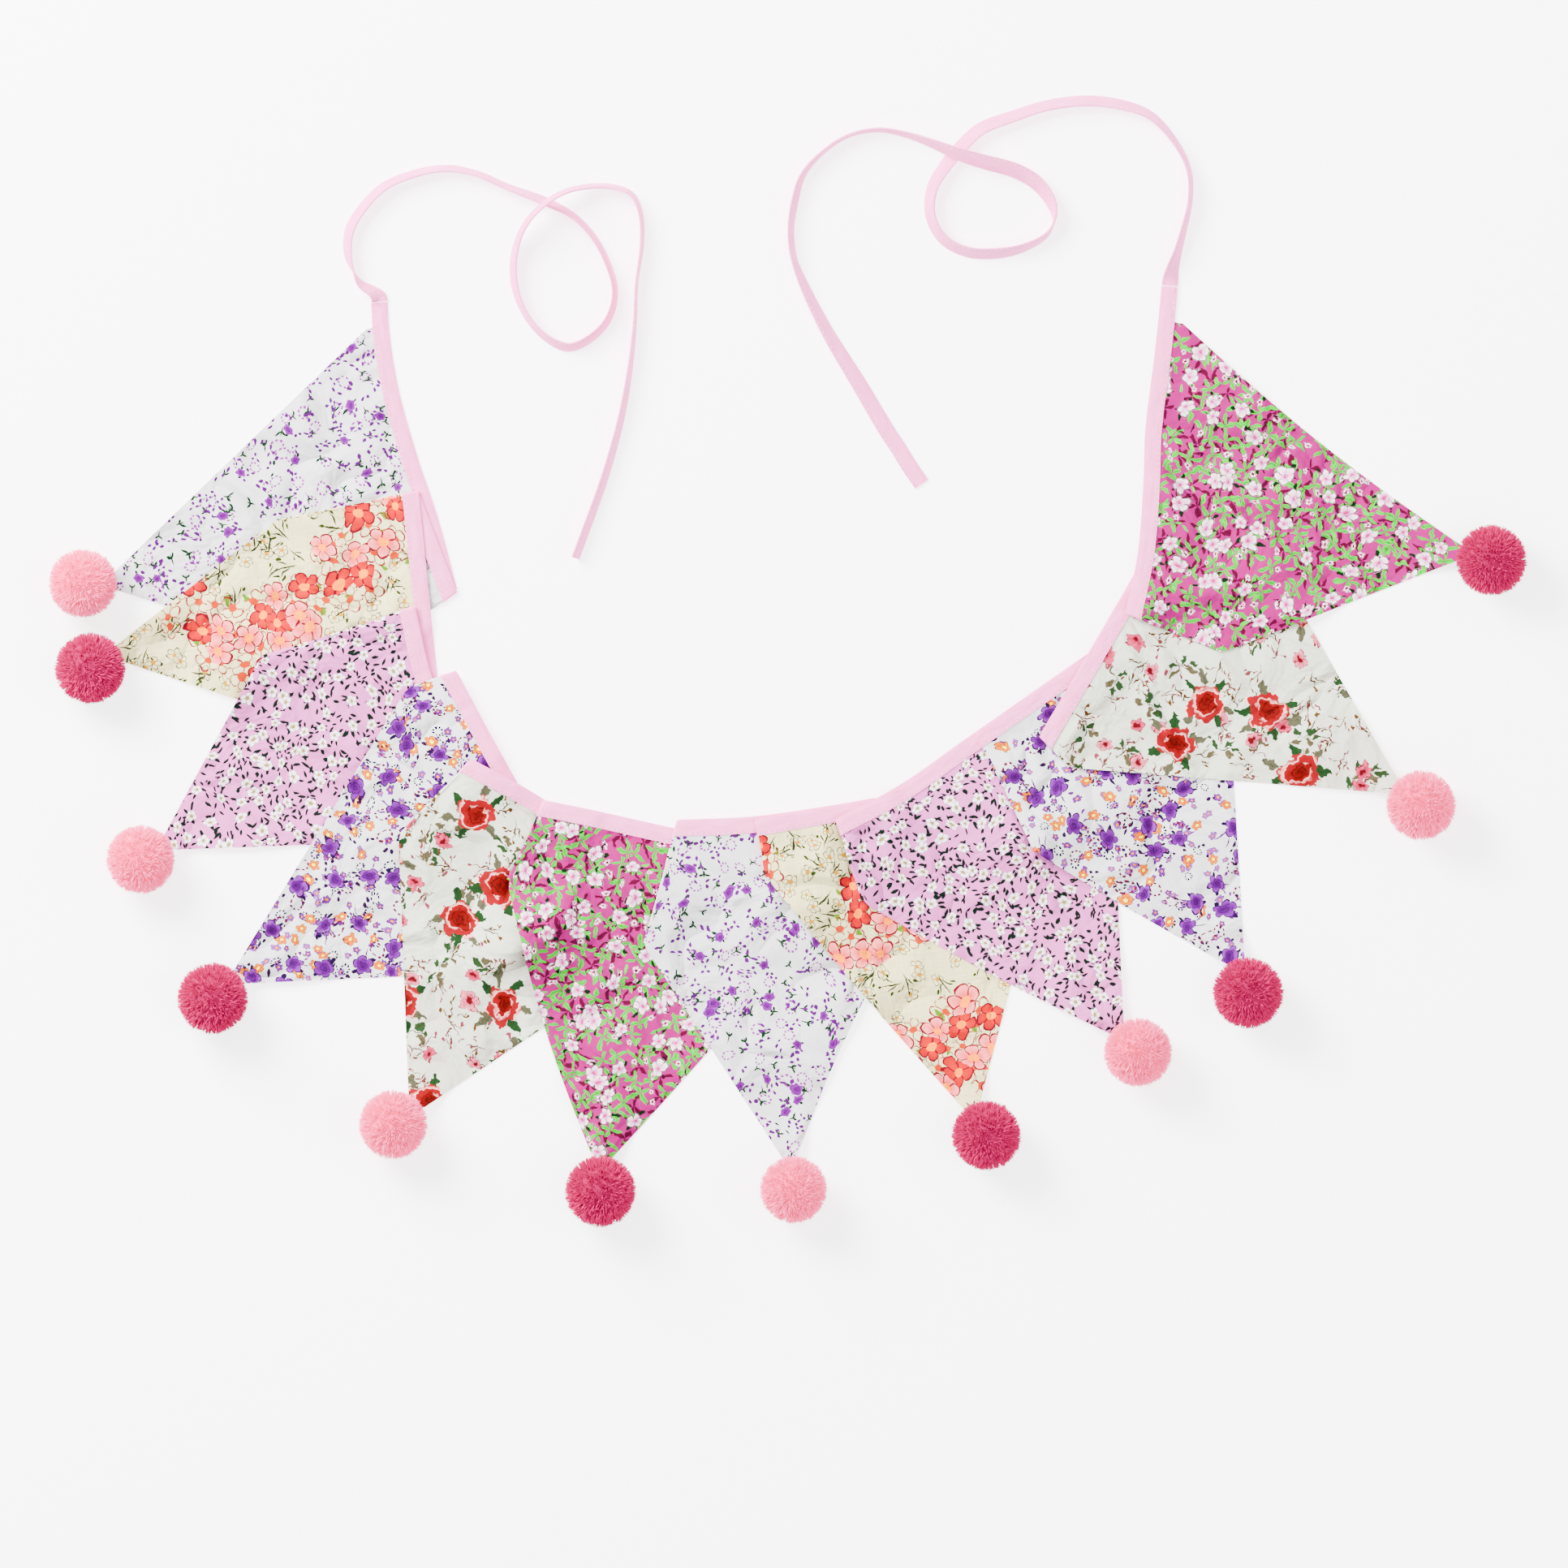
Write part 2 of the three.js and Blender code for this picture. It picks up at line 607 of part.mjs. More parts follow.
function copyRib(rib) {
  return { ...rib, points: rib.points.map((p) => p.clone()), face: new THREE.Vector2() };
}

// The turned-up end corner of one pennant and the turned-under start corner of the next
function cornerLayer(last, next, share) {
  const turnLine = last[last.length - 1];
  const foldLine = next[0];
  const corner = mix(flat(foldLine.points[0]), flat(turnLine.points[0]), share);
  const ends = [turnLine, foldLine].map((line) => {
    const tape = flat(line.points[0]);
    const ribs = flapRibs(corner, tape, flat(line.points[line.points.length - 1]));
    return [...ribs.slice(0, -1), copyRib(line)];
  });
  const turned = ends[0].reverse();
  turned[turned.length - 1].endsCloth = true;
  return { turned, folded: ends[1] };
}

// Lays the whole string down, pennant by pennant; gives each pennant's ribs in order
function layString() {
  const map = new HeightMap();
  const mains = PENNANTS.map(mainRibs);
  const outs = mains.map((ribs, index) => {
    const first = foldDirection(ribs[0], ribs[1]);
    const last = foldDirection(ribs[ribs.length - 1], ribs[ribs.length - 2]);
    if (index > 0) {
      shift(ribs[0], first, -TURN_ROOM);
    }
    if (index < PENNANTS.length - 1) {
      shift(ribs[ribs.length - 1], last, -TURN_ROOM);
    }
    return { first, last };
  });
  const strings = mains.map((ribs) => [...ribs]);
  layDown(mains[0], map, tipPlace(PENNANTS[0]));
  for (let index = 1; index < PENNANTS.length; index += 1) {
    const before = mains[index - 1];
    const here = mains[index];
    const { turned, folded } = cornerLayer(before, here, PENNANTS[index].corner);
    layDown([...turned, ...folded], map);
    [...turned, ...folded].forEach((rib) => { rib.up = -1; });
    const lastMain = before[before.length - 1];
    const turn = turnRibs(lastMain, turned[0], outs[index - 1].last, -1, map);
    strings[index - 1].push(...turn, ...turned);
    layDown(here, map, tipPlace(PENNANTS[index]));
    const fold = turnRibs(here[0], folded[folded.length - 1], outs[index].first, 1, map);
    strings[index].unshift(...folded, ...fold.reverse());
  }
  return strings;
}

// Joins sections, each a closed loop of points, into one closed solid.
// crossed holds the loop edges whose faces split along the other diagonal.
function sweep(sections, crossed, caps) {
  const count = sections[0].length;
  const index = [];
  for (let i = 0; i + 1 < sections.length; i += 1) {
    for (let k = 0; k < count; k += 1) {
      const a = i * count + k;
      const b = i * count + ((k + 1) % count);
      const c = b + count;
      const d = a + count;
      index.push(...(crossed.has(k) ? [a, b, d, b, c, d] : [a, b, c, a, c, d]));
    }
  }
  const end = (sections.length - 1) * count;
  caps.forEach(([a, b, c]) => index.push(a, c, b, end + a, end + b, end + c));
  return closedGeometry(sections.flat(), index);
}

// Builds the geometry with its faces pointing outwards
function closedGeometry(points, index) {
  let volume = 0;
  for (let i = 0; i < index.length; i += 3) {
    const [a, b, c] = [points[index[i]], points[index[i + 1]], points[index[i + 2]]];
    volume += a.dot(b.clone().cross(c));
  }
  const facing = volume < 0 ? index.toReversed() : index;
  const geometry = new THREE.BufferGeometry();
  geometry.setFromPoints(points);
  geometry.setIndex(facing);
  geometry.computeVertexNormals();
  return geometry;
}

function offset(p, rib, distance) {
  const side = new THREE.Vector3(rib.face.x, rib.face.y, rib.up);
  return p.clone().addScaledVector(side, distance);
}

// A pennant is one sheet; its top edge lies inside the tape
function pennantGeometry(ribs) {
  const sheet = ribs.filter((rib) => !rib.tapeOnly);
  const columns = sheet[0].points.length;
  const sections = sheet.map((rib) => {
    const points = [...rib.points];
    points[0] = points[0].clone().lerp(points[1], CLOTH_INSET / TAPE_WIDTH);
    const front = points.map((p) => offset(p, rib, CLOTH / 2));
    const back = points.map((p) => offset(p, rib, -CLOTH / 2)).reverse();
    return [...front, ...back];
  });
  const crossed = new Set();
  const caps = [];
  for (let j = 0; j < columns; j += 1) {
    crossed.add(columns + j);
  }
  for (let j = 0; j + 1 < columns; j += 1) {
    const below = 2 * columns - 1 - j;
    caps.push([j, j + 1, below - 1], [j, below - 1, below]);
  }
  return sweep(sections, crossed, caps);
}

// The tape is folded over the cloth's edge: two leaves joined along the outer edge
function tapeGeometry(ribs) {
  const inner = TAPE_DEPTH / 2 - TAPE_LEAF;
  const outer = TAPE_DEPTH / 2;
  const sections = ribs.map((rib) => {
    const [edge, hem] = rib.points;
    const wall = edge.clone().lerp(hem, TAPE_LEAF / TAPE_WIDTH);
    return [
      offset(edge, rib, outer), offset(hem, rib, outer), offset(hem, rib, inner), offset(wall, rib, inner),
      offset(wall, rib, -inner), offset(hem, rib, -inner), offset(hem, rib, -outer), offset(edge, rib, -outer),
    ];
  });
  const caps = [[0, 1, 2], [0, 2, 3], [0, 3, 4], [0, 4, 7], [4, 5, 6], [4, 6, 7]];
  return sweep(sections, new Set([2, 6]), caps);
}

// A tie is the tape sewn shut, standing on edge where it curves
function tieGeometry(route) {
  const curve = (pick) => new THREE.CatmullRomCurve3(route.map((row) => new THREE.Vector3(...pick(row))));
  const path = curve(({ at }) => [...at, 0]);
  const turns = curve(({ roll, lift: over }) => [roll, over, 0]);
  const steps = TIE_STEPS_PER_ROW * (route.length - 1);
  const sections = [];
  for (let i = 0; i <= steps; i += 1) {
    const centre = path.getPoint(i / steps);
    const tangent = path.getTangent(i / steps);
    const turn = turns.getPoint(i / steps);
    const roll = THREE.MathUtils.degToRad(turn.x);
    const sideways = new THREE.Vector3(-tangent.y, tangent.x, 0).normalize();
    const across = sideways.clone().multiplyScalar(Math.cos(roll) * TIE_WIDTH / 2);
    across.z = Math.sin(roll) * TIE_WIDTH / 2;
    const through = sideways.multiplyScalar(-Math.sin(roll) * TIE_THICKNESS / 2);
    through.z = Math.cos(roll) * TIE_THICKNESS / 2;
    centre.z = Math.abs(across.z) + Math.abs(through.z) + Math.max(0, turn.y);
    const corner = (a, b) => centre.clone().addScaledVector(across, a).addScaledVector(through, b);
    sections.push([corner(-1, -1), corner(1, -1), corner(1, 1), corner(-1, 1)]);
  }
  return sweep(sections, new Set([2]), [[0, 1, 2], [0, 2, 3]]);
}

// A pompom: a ball of yarn locks fused at their roots. Each face of a divided cube,
// thrown onto a ball, is the root of one lock; the lock at the parting is left out,
// and the locks underneath are shorter, so that they rest level on the floor.
function pompomGeometry(row, order) {
  const core = row.size * CORE_SHARE;
  const centreHeight = row.size - POMPOM_SINK;
  const cube = new THREE.BoxGeometry(2, 2, 2, LOCKS_PER_SIDE, LOCKS_PER_SIDE, LOCKS_PER_SIDE);
  cube.deleteAttribute('normal');
  cube.deleteAttribute('uv');
  const base = mergeVertices(cube);
  const roots = [];
  for (let i = 0; i < base.attributes.position.count; i += 1) {
    roots.push(new THREE.Vector3().fromBufferAttribute(base.attributes.position, i).normalize());
  }
  const faces = [];
  for (let i = 0; i < base.index.count; i += 6) {
    faces.push([0, 1, 4, 5].map((k) => base.index.getX(i + k)));
  }
  const middle = (face) => face.reduce((sum, k) => sum.add(roots[k]), new THREE.Vector3()).normalize();
  const out = towards(plan(row.pompom), plan(row.tip));
  const entry = new THREE.Vector3(out.x, out.y, 0).multiplyScalar(Math.cos(ENTRY_ANGLE));
  entry.z = -Math.sin(ENTRY_ANGLE);
  const turn = new THREE.Quaternion().setFromUnitVectors(middle(faces[PARTING_FACE]), entry);
  const spin = new THREE.Quaternion().setFromAxisAngle(entry, order * POMPOM_SPIN);
  roots.forEach((root) => root.applyQuaternion(turn).applyQuaternion(spin));
  const place = (direction, radius) => {
    const floor = direction.z < 0 ? centreHeight / -direction.z : Infinity;
    const p = direction.clone().multiplyScalar(Math.min(radius, floor));
    return p.add(new THREE.Vector3(row.pompom[0], row.pompom[1], centreHeight));
  };
  const points = roots.map((root) => place(root, core));
  const index = [];
  faces.forEach((face, number) => {
    const centre = middle(face);
    if (number === PARTING_FACE) {
      const seat = points.push(place(centre, core)) - 1;
      face.forEach((k, side) => index.push(k, face[(side + 1) % 4], seat));
      return;
    }
    const length = row.size * (1 - LOCK_UNEVEN * (0.5 + 0.5 * Math.sin(number * 2.4 + order)));
    const first = points.length;
    face.forEach((k) => {
      const shoulder = roots[k].clone().lerp(centre, LOCK_INSET).normalize();
      points.push(place(shoulder, length * LOCK_SHOULDER));
    });
    points.push(place(centre, length));
    for (let k = 0; k < 4; k += 1) {
      const next = (k + 1) % 4;
      index.push(face[k], face[next], first + next, face[k], first + next, first + k);
      index.push(first + k, first + next, first + 4);
    }
  });
  return closedGeometry(points, index);
}

function addPiece(group, name, geometry, finish) {
  const mesh = new THREE.Mesh(geometry, new THREE.MeshStandardMaterial(finish));
  mesh.name = name;
  group.add(mesh);
}

const bunting = new THREE.Group();
const strings = layString();
PENNANTS.forEach((row, i) => {
  const number = String(i + 1).padStart(2, '0');
  addPiece(bunting, `flag_${number}`, pennantGeometry(strings[i]), PRINTS[row.print]);
  addPiece(bunting, `pompom_${number}`, pompomGeometry(row, i), YARN[row.yarn]);
});
addPiece(bunting, 'binding', tapeGeometry(strings.flat()), TAPE_PINK);
Object.entries(TIES).forEach(([name, route]) => {
  addPiece(bunting, name, tieGeometry(route), TAPE_PINK);
});

export default bunting;
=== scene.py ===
# %% [markdown]
# # Fabric bunting
#
# Twelve printed cotton pennants on a pale pink tape, a yarn pompom at each tip and two
# free ties, laid out on a white surface. This lesson lays the cloth down layer by layer,
# sews the tape over it, makes the pompoms and ties, and then draws the six prints with
# shader nodes. Lengths in the tables are millimetres; meshes are made in metres.
#
# It starts from the plain model.

# %% Load the plain model
import math

import bpy
import numpy as np
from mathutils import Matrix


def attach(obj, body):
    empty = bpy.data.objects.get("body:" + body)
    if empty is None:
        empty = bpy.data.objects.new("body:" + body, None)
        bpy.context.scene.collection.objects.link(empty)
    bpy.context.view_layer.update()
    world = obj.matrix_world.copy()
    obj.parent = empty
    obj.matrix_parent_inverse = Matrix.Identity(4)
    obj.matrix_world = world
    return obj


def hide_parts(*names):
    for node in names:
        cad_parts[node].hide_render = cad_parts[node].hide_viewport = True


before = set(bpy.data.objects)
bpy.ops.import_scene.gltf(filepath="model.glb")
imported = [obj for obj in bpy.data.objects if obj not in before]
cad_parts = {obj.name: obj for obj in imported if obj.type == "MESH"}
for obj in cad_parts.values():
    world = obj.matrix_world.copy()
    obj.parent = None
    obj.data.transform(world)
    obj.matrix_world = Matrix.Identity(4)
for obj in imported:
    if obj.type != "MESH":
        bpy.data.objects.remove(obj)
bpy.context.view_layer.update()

MM = 0.001

# %% [markdown]
# ## Sizes of cloth, tape and folds
#
# The real string is thin cotton under a tape that is folded over its top edge. All parts
# take their thickness, play and fold room from the few sizes here, in millimetres, so a
# thicker cloth or a wider tape is one change.

# %% Sizes in millimetres
CLOTH = 0.5
LEAF = 0.3
TAPE_WIDTH = 9.2
TAPE_PLAY = 0.1
TAPE_DEPTH = CLOTH + 2 * (TAPE_PLAY + LEAF)
CLEAR = 0.15
CORNER_SPACING = 7
TURN_ROOM = 1.6
TIP_HALF_WIDTH = 1.5
POMPOM_SINK = 1.4
print("tape over cloth:", round(TAPE_DEPTH, 2), "mm thick")

# %% [markdown]
# ## How fine the cloth is
#
# A sheet could be a grid filled from its outline, but then the weave would not run down
# from the tape. Here rows of points, called ribs, run from the tape to the free edges.
# These numbers say how many ribs and points there are. Shares are parts of a length.

# %% Steps and shares
MAIN_STEPS = 66
FLAP_STEPS = 8
TURN_STEPS = 7
COLUMNS = 30
SEAM_DROP = 5
TIP_SPREAD = 0.02
FIRST_CLOTH_SHARE = 0.075
LAST_CLOTH_SHARE = 0.9
BARE_TAPE_SHARES = (0.92, 0.96, 1)
CORE_SHARE = 0.67
ENTRY_ANGLE = math.radians(38)
print("points on a rib:", COLUMNS)

# %% [markdown]
# ## Where each pennant lies
#
# One row for each pennant, in the order of the tape. `edge` is the tape's outer edge
# along the top layer. `fold_side` and `turn_side` are where the two folds leave the
# cloth's side edges, `corner` is the share of the doubled-back tape that belongs to the
# corner folded under, and `bows` says how far each side edge swells outwards. The layout
# is a free one, so its places are a short list given one by one and not a formula.

# %% Table of the pennants
PENNANTS = [
    dict(print="violet_buds", tip=(-382, 42), pompom=(-391, 43), size=19.2, yarn="light",
         fold_side=(-234, 184), turn_side=(-238, -2), corner=0, bows=(0, 0),
         edge=[(-222, 199), (-221, 182), (-216, 151), (-206, 115), (-194, 79), (-183, 38)]),
    dict(print="coral_flowers", tip=(-379, 4), pompom=(-387, -4), size=19.9, yarn="deep",
         fold_side=(-281, 80), turn_side=(-212, -52), corner=0.6, bows=(0, 0),
         edge=[(-205, 95), (-196, 7), (-189, -65)]),
    dict(print="lilac_posies", tip=(-349, -104), pompom=(-359, -110), size=19.2, yarn="light",
         fold_side=(-292, 3), turn_side=(-207, -100), corner=0.75, bows=(0, 0),
         edge=[(-207, 31), (-198, -7), (-187, -32), (-167, -72)]),
    dict(print="violet_roses", tip=(-312, -179), pompom=(-319, -187), size=19.9, yarn="deep",
         fold_side=(-210, -13), turn_side=(-170, -173), corner=0.33, bows=(0, 0),
         edge=[(-184, -5), (-168, -35), (-152, -64), (-117, -128)]),
    dict(print="red_roses", tip=(-212, -254), pompom=(-219, -257), size=19.2, yarn="light",
         fold_side=(-216, -95), turn_side=(-92, -174), corner=0.49, bows=(0, 0),
         edge=[(-176, -54), (-138, -75), (-65, -127)]),
    dict(print="lime_roses", tip=(-105, -284), pompom=(-104, -294), size=19.9, yarn="deep",
         fold_side=(-156, -121), turn_side=(16, -147), corner=0.43, bows=(4.5, 1),
         edge=[(-136, -77), (-111, -82), (-66, -92), (10, -108)]),
    dict(print="violet_buds", tip=(2, -284), pompom=(3, -293), size=18.8, yarn="light",
         fold_side=(-81, -156), turn_side=(46, -180), corner=0.78, bows=(0, -2),
         edge=[(-62, -88), (-18, -86), (49, -76)]),
    dict(print="coral_flowers", tip=(105, -257), pompom=(110, -263), size=19.5, yarn="deep",
         fold_side=(-12, -120), turn_side=(139, -121), corner=0.33, bows=(1.5, 0),
         edge=[(-19, -88), (27, -80), (118, -66)]),
    dict(print="lilac_posies", tip=(187, -211), pompom=(194, -217), size=19.2, yarn="light",
         fold_side=(40, -133), turn_side=(178, -22), corner=0.43, bows=(2, 0),
         edge=[(26, -88), (63, -68), (103, -40), (160, -4)]),
    dict(print="violet_roses", tip=(254, -176), pompom=(255, -184), size=19.9, yarn="deep",
         fold_side=(137, -106), turn_side=(246, -48), corner=0.66, bows=(1, 0),
         edge=[(103, -40), (153, -5), (189, 20)]),
    dict(print="red_roses", tip=(344, -75), pompom=(351, -80), size=19.5, yarn="light",
         fold_side=(155, -59), turn_side=(260, 71), corner=0.33, bows=(0, 0),
         edge=[(139, -42), (165, 2), (194, 52), (217, 93)]),
    dict(print="lime_roses", tip=(381, 59), pompom=(390, 56), size=19.9, yarn="deep",
         fold_side=(239, 4), turn_side=(219, 187), corner=0.62, bows=(0, -4.5),
         edge=[(187, 26), (194, 61), (197, 100), (198, 128), (203, 169), (205.5, 192), (207, 208)]),
]
print(len(PENNANTS), "pennants")

# %% [markdown]
# ## Smooth routes
#
# Tape and ribbon bend evenly, with no corner at a table's points. A Bezier curve would do
# too, but its places are not spaced by length. `through` passes a smooth line through the
# points, with the places at steps counted in points.

# %% A smooth line through points
def through(points, steps):
    points = np.asarray(points, float)
    ends = np.vstack([2 * points[0] - points[1], points, 2 * points[-1] - points[-2]])
    found = []
    for step in steps:
        i = min(int(step), len(points) - 2)
        p0, p1, p2, p3 = ends[i:i + 4]
        d0, d1, d2 = (max(1e-4, np.linalg.norm(b - a)) ** 0.5 for a, b in ((p0, p1), (p1, p2), (p2, p3)))
        t1 = ((p1 - p0) / d0 - (p2 - p0) / (d0 + d1) + (p2 - p1) / d1) * d1
        t2 = ((p2 - p1) / d1 - (p3 - p1) / (d1 + d2) + (p3 - p2) / d2) * d1
        t = step - i
        found.append(p1 + t1 * t + (3 * (p2 - p1) - 2 * t1 - t2) * t ** 2
                     + (2 * (p1 - p2) + t1 + t2) * t ** 3)
    return np.array(found)


print("halfway through three points:", through([(0, 0), (10, 4), (20, 0)], [1.5]).round(1))

# %% [markdown]
# ## Places along the tape's edge
#
# A pennant is cut by length, so a rib's root is found at a share of the edge's length.
# `Route` measures the smooth line once and then gives a place or a heading at a share.

# %% Route and its small helpers
class Route:
    def __init__(self, points):
        self.line = through(points, np.linspace(0, len(points) - 1, 40 * len(points)))
        gaps = np.linalg.norm(np.diff(self.line, axis=0), axis=1)
        self.reach = np.concatenate([[0], np.cumsum(gaps)])

    def at(self, share):
        far = np.clip(share, 0, 1) * self.reach[-1]
        return np.array([np.interp(far, self.reach, self.line[:, k]) for k in (0, 1)])

    def heading(self, share):
        return unit(self.at(min(1, share + 0.01)) - self.at(max(0, share - 0.01)))


def unit(v):
    return v / max(1e-9, np.linalg.norm(v))


def turned(v):
    return np.array([-v[1], v[0]])


def mix(a, b, share):
    return a + (b - a) * share


print("first edge:", round(Route(PENNANTS[0]["edge"]).reach[-1]), "mm long")

# %% [markdown]
# ## Ribs across each pennant
#
# A rib crosses the tape at its root and runs down the cloth to a side edge. Each keeps
# where its points lie on the flat cloth too, and that is what the prints are drawn on, so
# a folded corner still shows the right piece of the print.

# %% A rib
class Rib:
    def __init__(self, root, free, along_tape, tape_only=False):
        down = unit(free - root)
        slant = max(0.4, abs(along_tape[0] * down[1] - along_tape[1] * down[0]))
        tape_end = TAPE_WIDTH / slant
        cloth = np.linalg.norm(free - root) - tape_end
        first = min(SEAM_DROP, 0.15 * cloth)
        far = np.append([0, tape_end], tape_end + np.linspace(first, cloth, COLUMNS - 2))
        if tape_only:
            far = np.array([0, tape_end] + [tape_end] * (COLUMNS - 2))
        self.xy = root + far[:, None] * down
        self.flat = self.xy.copy()
        self.z = np.zeros(COLUMNS)
        self.tape_only = tape_only
        self.face = np.zeros(2)
        self.up = 1.0


print("a rib keeps", COLUMNS, "places, a height for each, and its place on the flat cloth")

# %% [markdown]
# ## Tips and side edges
#
# Each tip is caught in its pompom, above the surface, so the cloth rises towards it. The
# side edges are nearly straight cuts, and a small bow gives the stretched ones their swell.

# %% Tip, side edge and the tape's bare ends
TIP_SEAT = 0.4


def tip_place(row):
    centre = np.array(row["pompom"], float)
    reach = row["size"] * CORE_SHARE - TIP_SEAT
    out = unit(np.array(row["tip"]) - centre)
    height = row["size"] - POMPOM_SINK - reach * math.sin(ENTRY_ANGLE)
    return centre + out * reach * math.cos(ENTRY_ANGLE), height


def side_at(a, b, inside, step, bow):
    out = turned(unit(b - a))
    if out @ (inside - a) > 0:
        out = -out
    return mix(a, b, step) + out * bow * math.sin(math.pi * step)


def square_rib(route, u, cloth_point):
    root, along = route.at(u), route.heading(u)
    across = turned(along)
    if across @ (cloth_point - root) < 0:
        across = -across
    return Rib(root, root + across * TAPE_WIDTH, along, tape_only=True)


print("first tip at", tip_place(PENNANTS[0])[0].round(1), "mm")

# %% [markdown]
# ## The ribs of a whole pennant
#
# The ribs fan out from the tape: one part of them ends on the first side edge and the rest
# on the second, in the proportion of the edges' lengths, so that the weave stays even.

# %% Ribs from the tape to both side edges
def main_ribs(row, index):
    route = Route(row["edge"])
    start = FIRST_CLOTH_SHARE if index == 0 else 0
    end = LAST_CLOTH_SHARE if index == len(PENNANTS) - 1 else 1
    tip = tip_place(row)[0]
    fold_side, turn_side = np.array(row["fold_side"], float), np.array(row["turn_side"], float)
    first = np.linalg.norm(fold_side - tip)
    share = first / (first + np.linalg.norm(turn_side - tip))
    steps = round((MAIN_STEPS - 1) * share)
    tip_from = mix(start, end, share) - TIP_SPREAD
    near = tip + unit(fold_side - tip) * TIP_HALF_WIDTH
    past = tip + unit(turn_side - tip) * TIP_HALF_WIDTH
    inside = (fold_side + turn_side) / 2
    ribs = []
    for step in np.linspace(0, 1, steps + 1):
        u = mix(start, tip_from, step)
        free = side_at(fold_side, near, inside, step, row["bows"][0])
        ribs.append(Rib(route.at(u), free, route.heading(u)))
    for step in np.linspace(0, 1, MAIN_STEPS - steps):
        u = mix(tip_from + 2 * TIP_SPREAD, end, step)
        free = side_at(past, turn_side, inside, step, row["bows"][1])
        ribs.append(Rib(route.at(u), free, route.heading(u)))
    if start > 0:
        ribs.insert(0, square_rib(route, 0, tip))
    if end < 1:
        ribs += [square_rib(route, u, tip) for u in BARE_TAPE_SHARES]
    return ribs


mains = [main_ribs(row, index) for index, row in enumerate(PENNANTS)]
print("ribs on the first pennant:", len(mains[0]))

# %% [markdown]
# ## The ribs of a turned corner
#
# Where the tape doubles back, a corner of the cloth lies under the pennant. Its ribs start
# a little past the corner point, because a rib of no length has no direction.

# %% Ribs of a corner
def flap_ribs(corner, fold_tape, fold_side):
    along = unit(fold_tape - corner)
    start = corner + along * CORNER_SPACING
    side = unit(fold_side - corner)
    rise = abs(along[0] * side[1] - along[1] * side[0]) / max(0.3, along @ side)
    across = fold_side - start
    across = unit(across - along * (across @ along))
    free = start + across * max(TAPE_WIDTH + 2, CORNER_SPACING * rise)
    steps = np.linspace(0, 1, FLAP_STEPS + 1)
    return [Rib(mix(start, fold_tape, s), mix(free, fold_side, s), along) for s in steps]


print("ribs on a corner:", FLAP_STEPS + 1)

# %% [markdown]
# ## A map of heights
#
# Laid cloth rests on whatever is below it. A cloth simulation could settle the layers, but
# it would move them out of their places. So a map of small cells keeps the height reached
# so far: each layer reads it, rests a little above, and then adds itself.

# %% The height map
CELL = 1.5
REACH = np.array([430.0, 340.0])
SPREAD_CELLS = 3
FINER = 6


class HeightMap:
    def __init__(self):
        self.top = np.zeros(np.ceil(2 * REACH / CELL).astype(int), np.float32)

    def cells(self, xy):
        found = ((xy + REACH) / CELL).astype(int)
        return tuple(np.clip(found, 0, np.array(self.top.shape) - 1).T)

    def under(self, xy):
        spread = self.top.copy()
        for dx in range(-SPREAD_CELLS, SPREAD_CELLS + 1):
            for dy in range(-SPREAD_CELLS, SPREAD_CELLS + 1):
                if dx * dx + dy * dy <= SPREAD_CELLS ** 2 + 1:
                    spread = np.maximum(spread, np.roll(self.top, (dx, dy), (0, 1)))
        return spread[self.cells(xy.reshape(-1, 2))].reshape(xy.shape[:-1])

    def add(self, xy, z):
        grid = np.concatenate([xy, z[..., None]], axis=2)
        for axis in (0, 1):
            count = FINER * (grid.shape[axis] - 1) + 1
            at = np.linspace(0, grid.shape[axis] - 1, count)
            low = np.minimum(at.astype(int), grid.shape[axis] - 2)
            part = (at - low).reshape((-1, 1, 1) if axis == 0 else (1, -1, 1))
            grid = np.take(grid, low, axis) * (1 - part) + np.take(grid, low + 1, axis) * part
        points = grid.reshape(-1, 3)
        np.maximum.at(self.top, self.cells(points[:, :2]), points[:, 2].astype(np.float32))


print("height map:", HeightMap().top.shape, "cells")

# %% [markdown]
# ## Soft ripples
#
# Pressed cotton never lies quite flat. A few long waves of different directions add up,
# and only what rises above the middle is kept, since the surface stops the rest.

# %% Ripples of the laid cloth
rng = np.random.default_rng(20)
WAVE_LENGTHS = (150, 96, 70, 47, 38)
WAVES = [(rng.uniform(-1, 1, 2), rng.uniform(0, 6.3), length) for length in WAVE_LENGTHS]
RIPPLE_HEIGHT = 1.5


def ripples(xy):
    total = np.zeros(xy.shape[:2])
    for way, phase, length in WAVES:
        total += length / 150 * np.sin(xy @ unit(way) * 2 * math.pi / length + phase)
    return RIPPLE_HEIGHT * np.clip(total, 0, None) ** 1.3


print("a ripple's height:", ripples(np.zeros((1, 1, 2))).round(2), "mm")

# %% [markdown]
# ## Laying a layer down
#
# The ribs rest on the map's heights, rise to the tip near a pompom, and then ease: each
# point is drawn up towards the mean of its neighbours, less a little sag, as a stiff cloth
# bridges a step.

# %% Rest, rise and ease
SAG = 0.12
EASE_PASSES = 90
TIP_RISE = 34
DEPTHS = np.array([TAPE_DEPTH, TAPE_DEPTH] + [CLOTH] * (COLUMNS - 2))


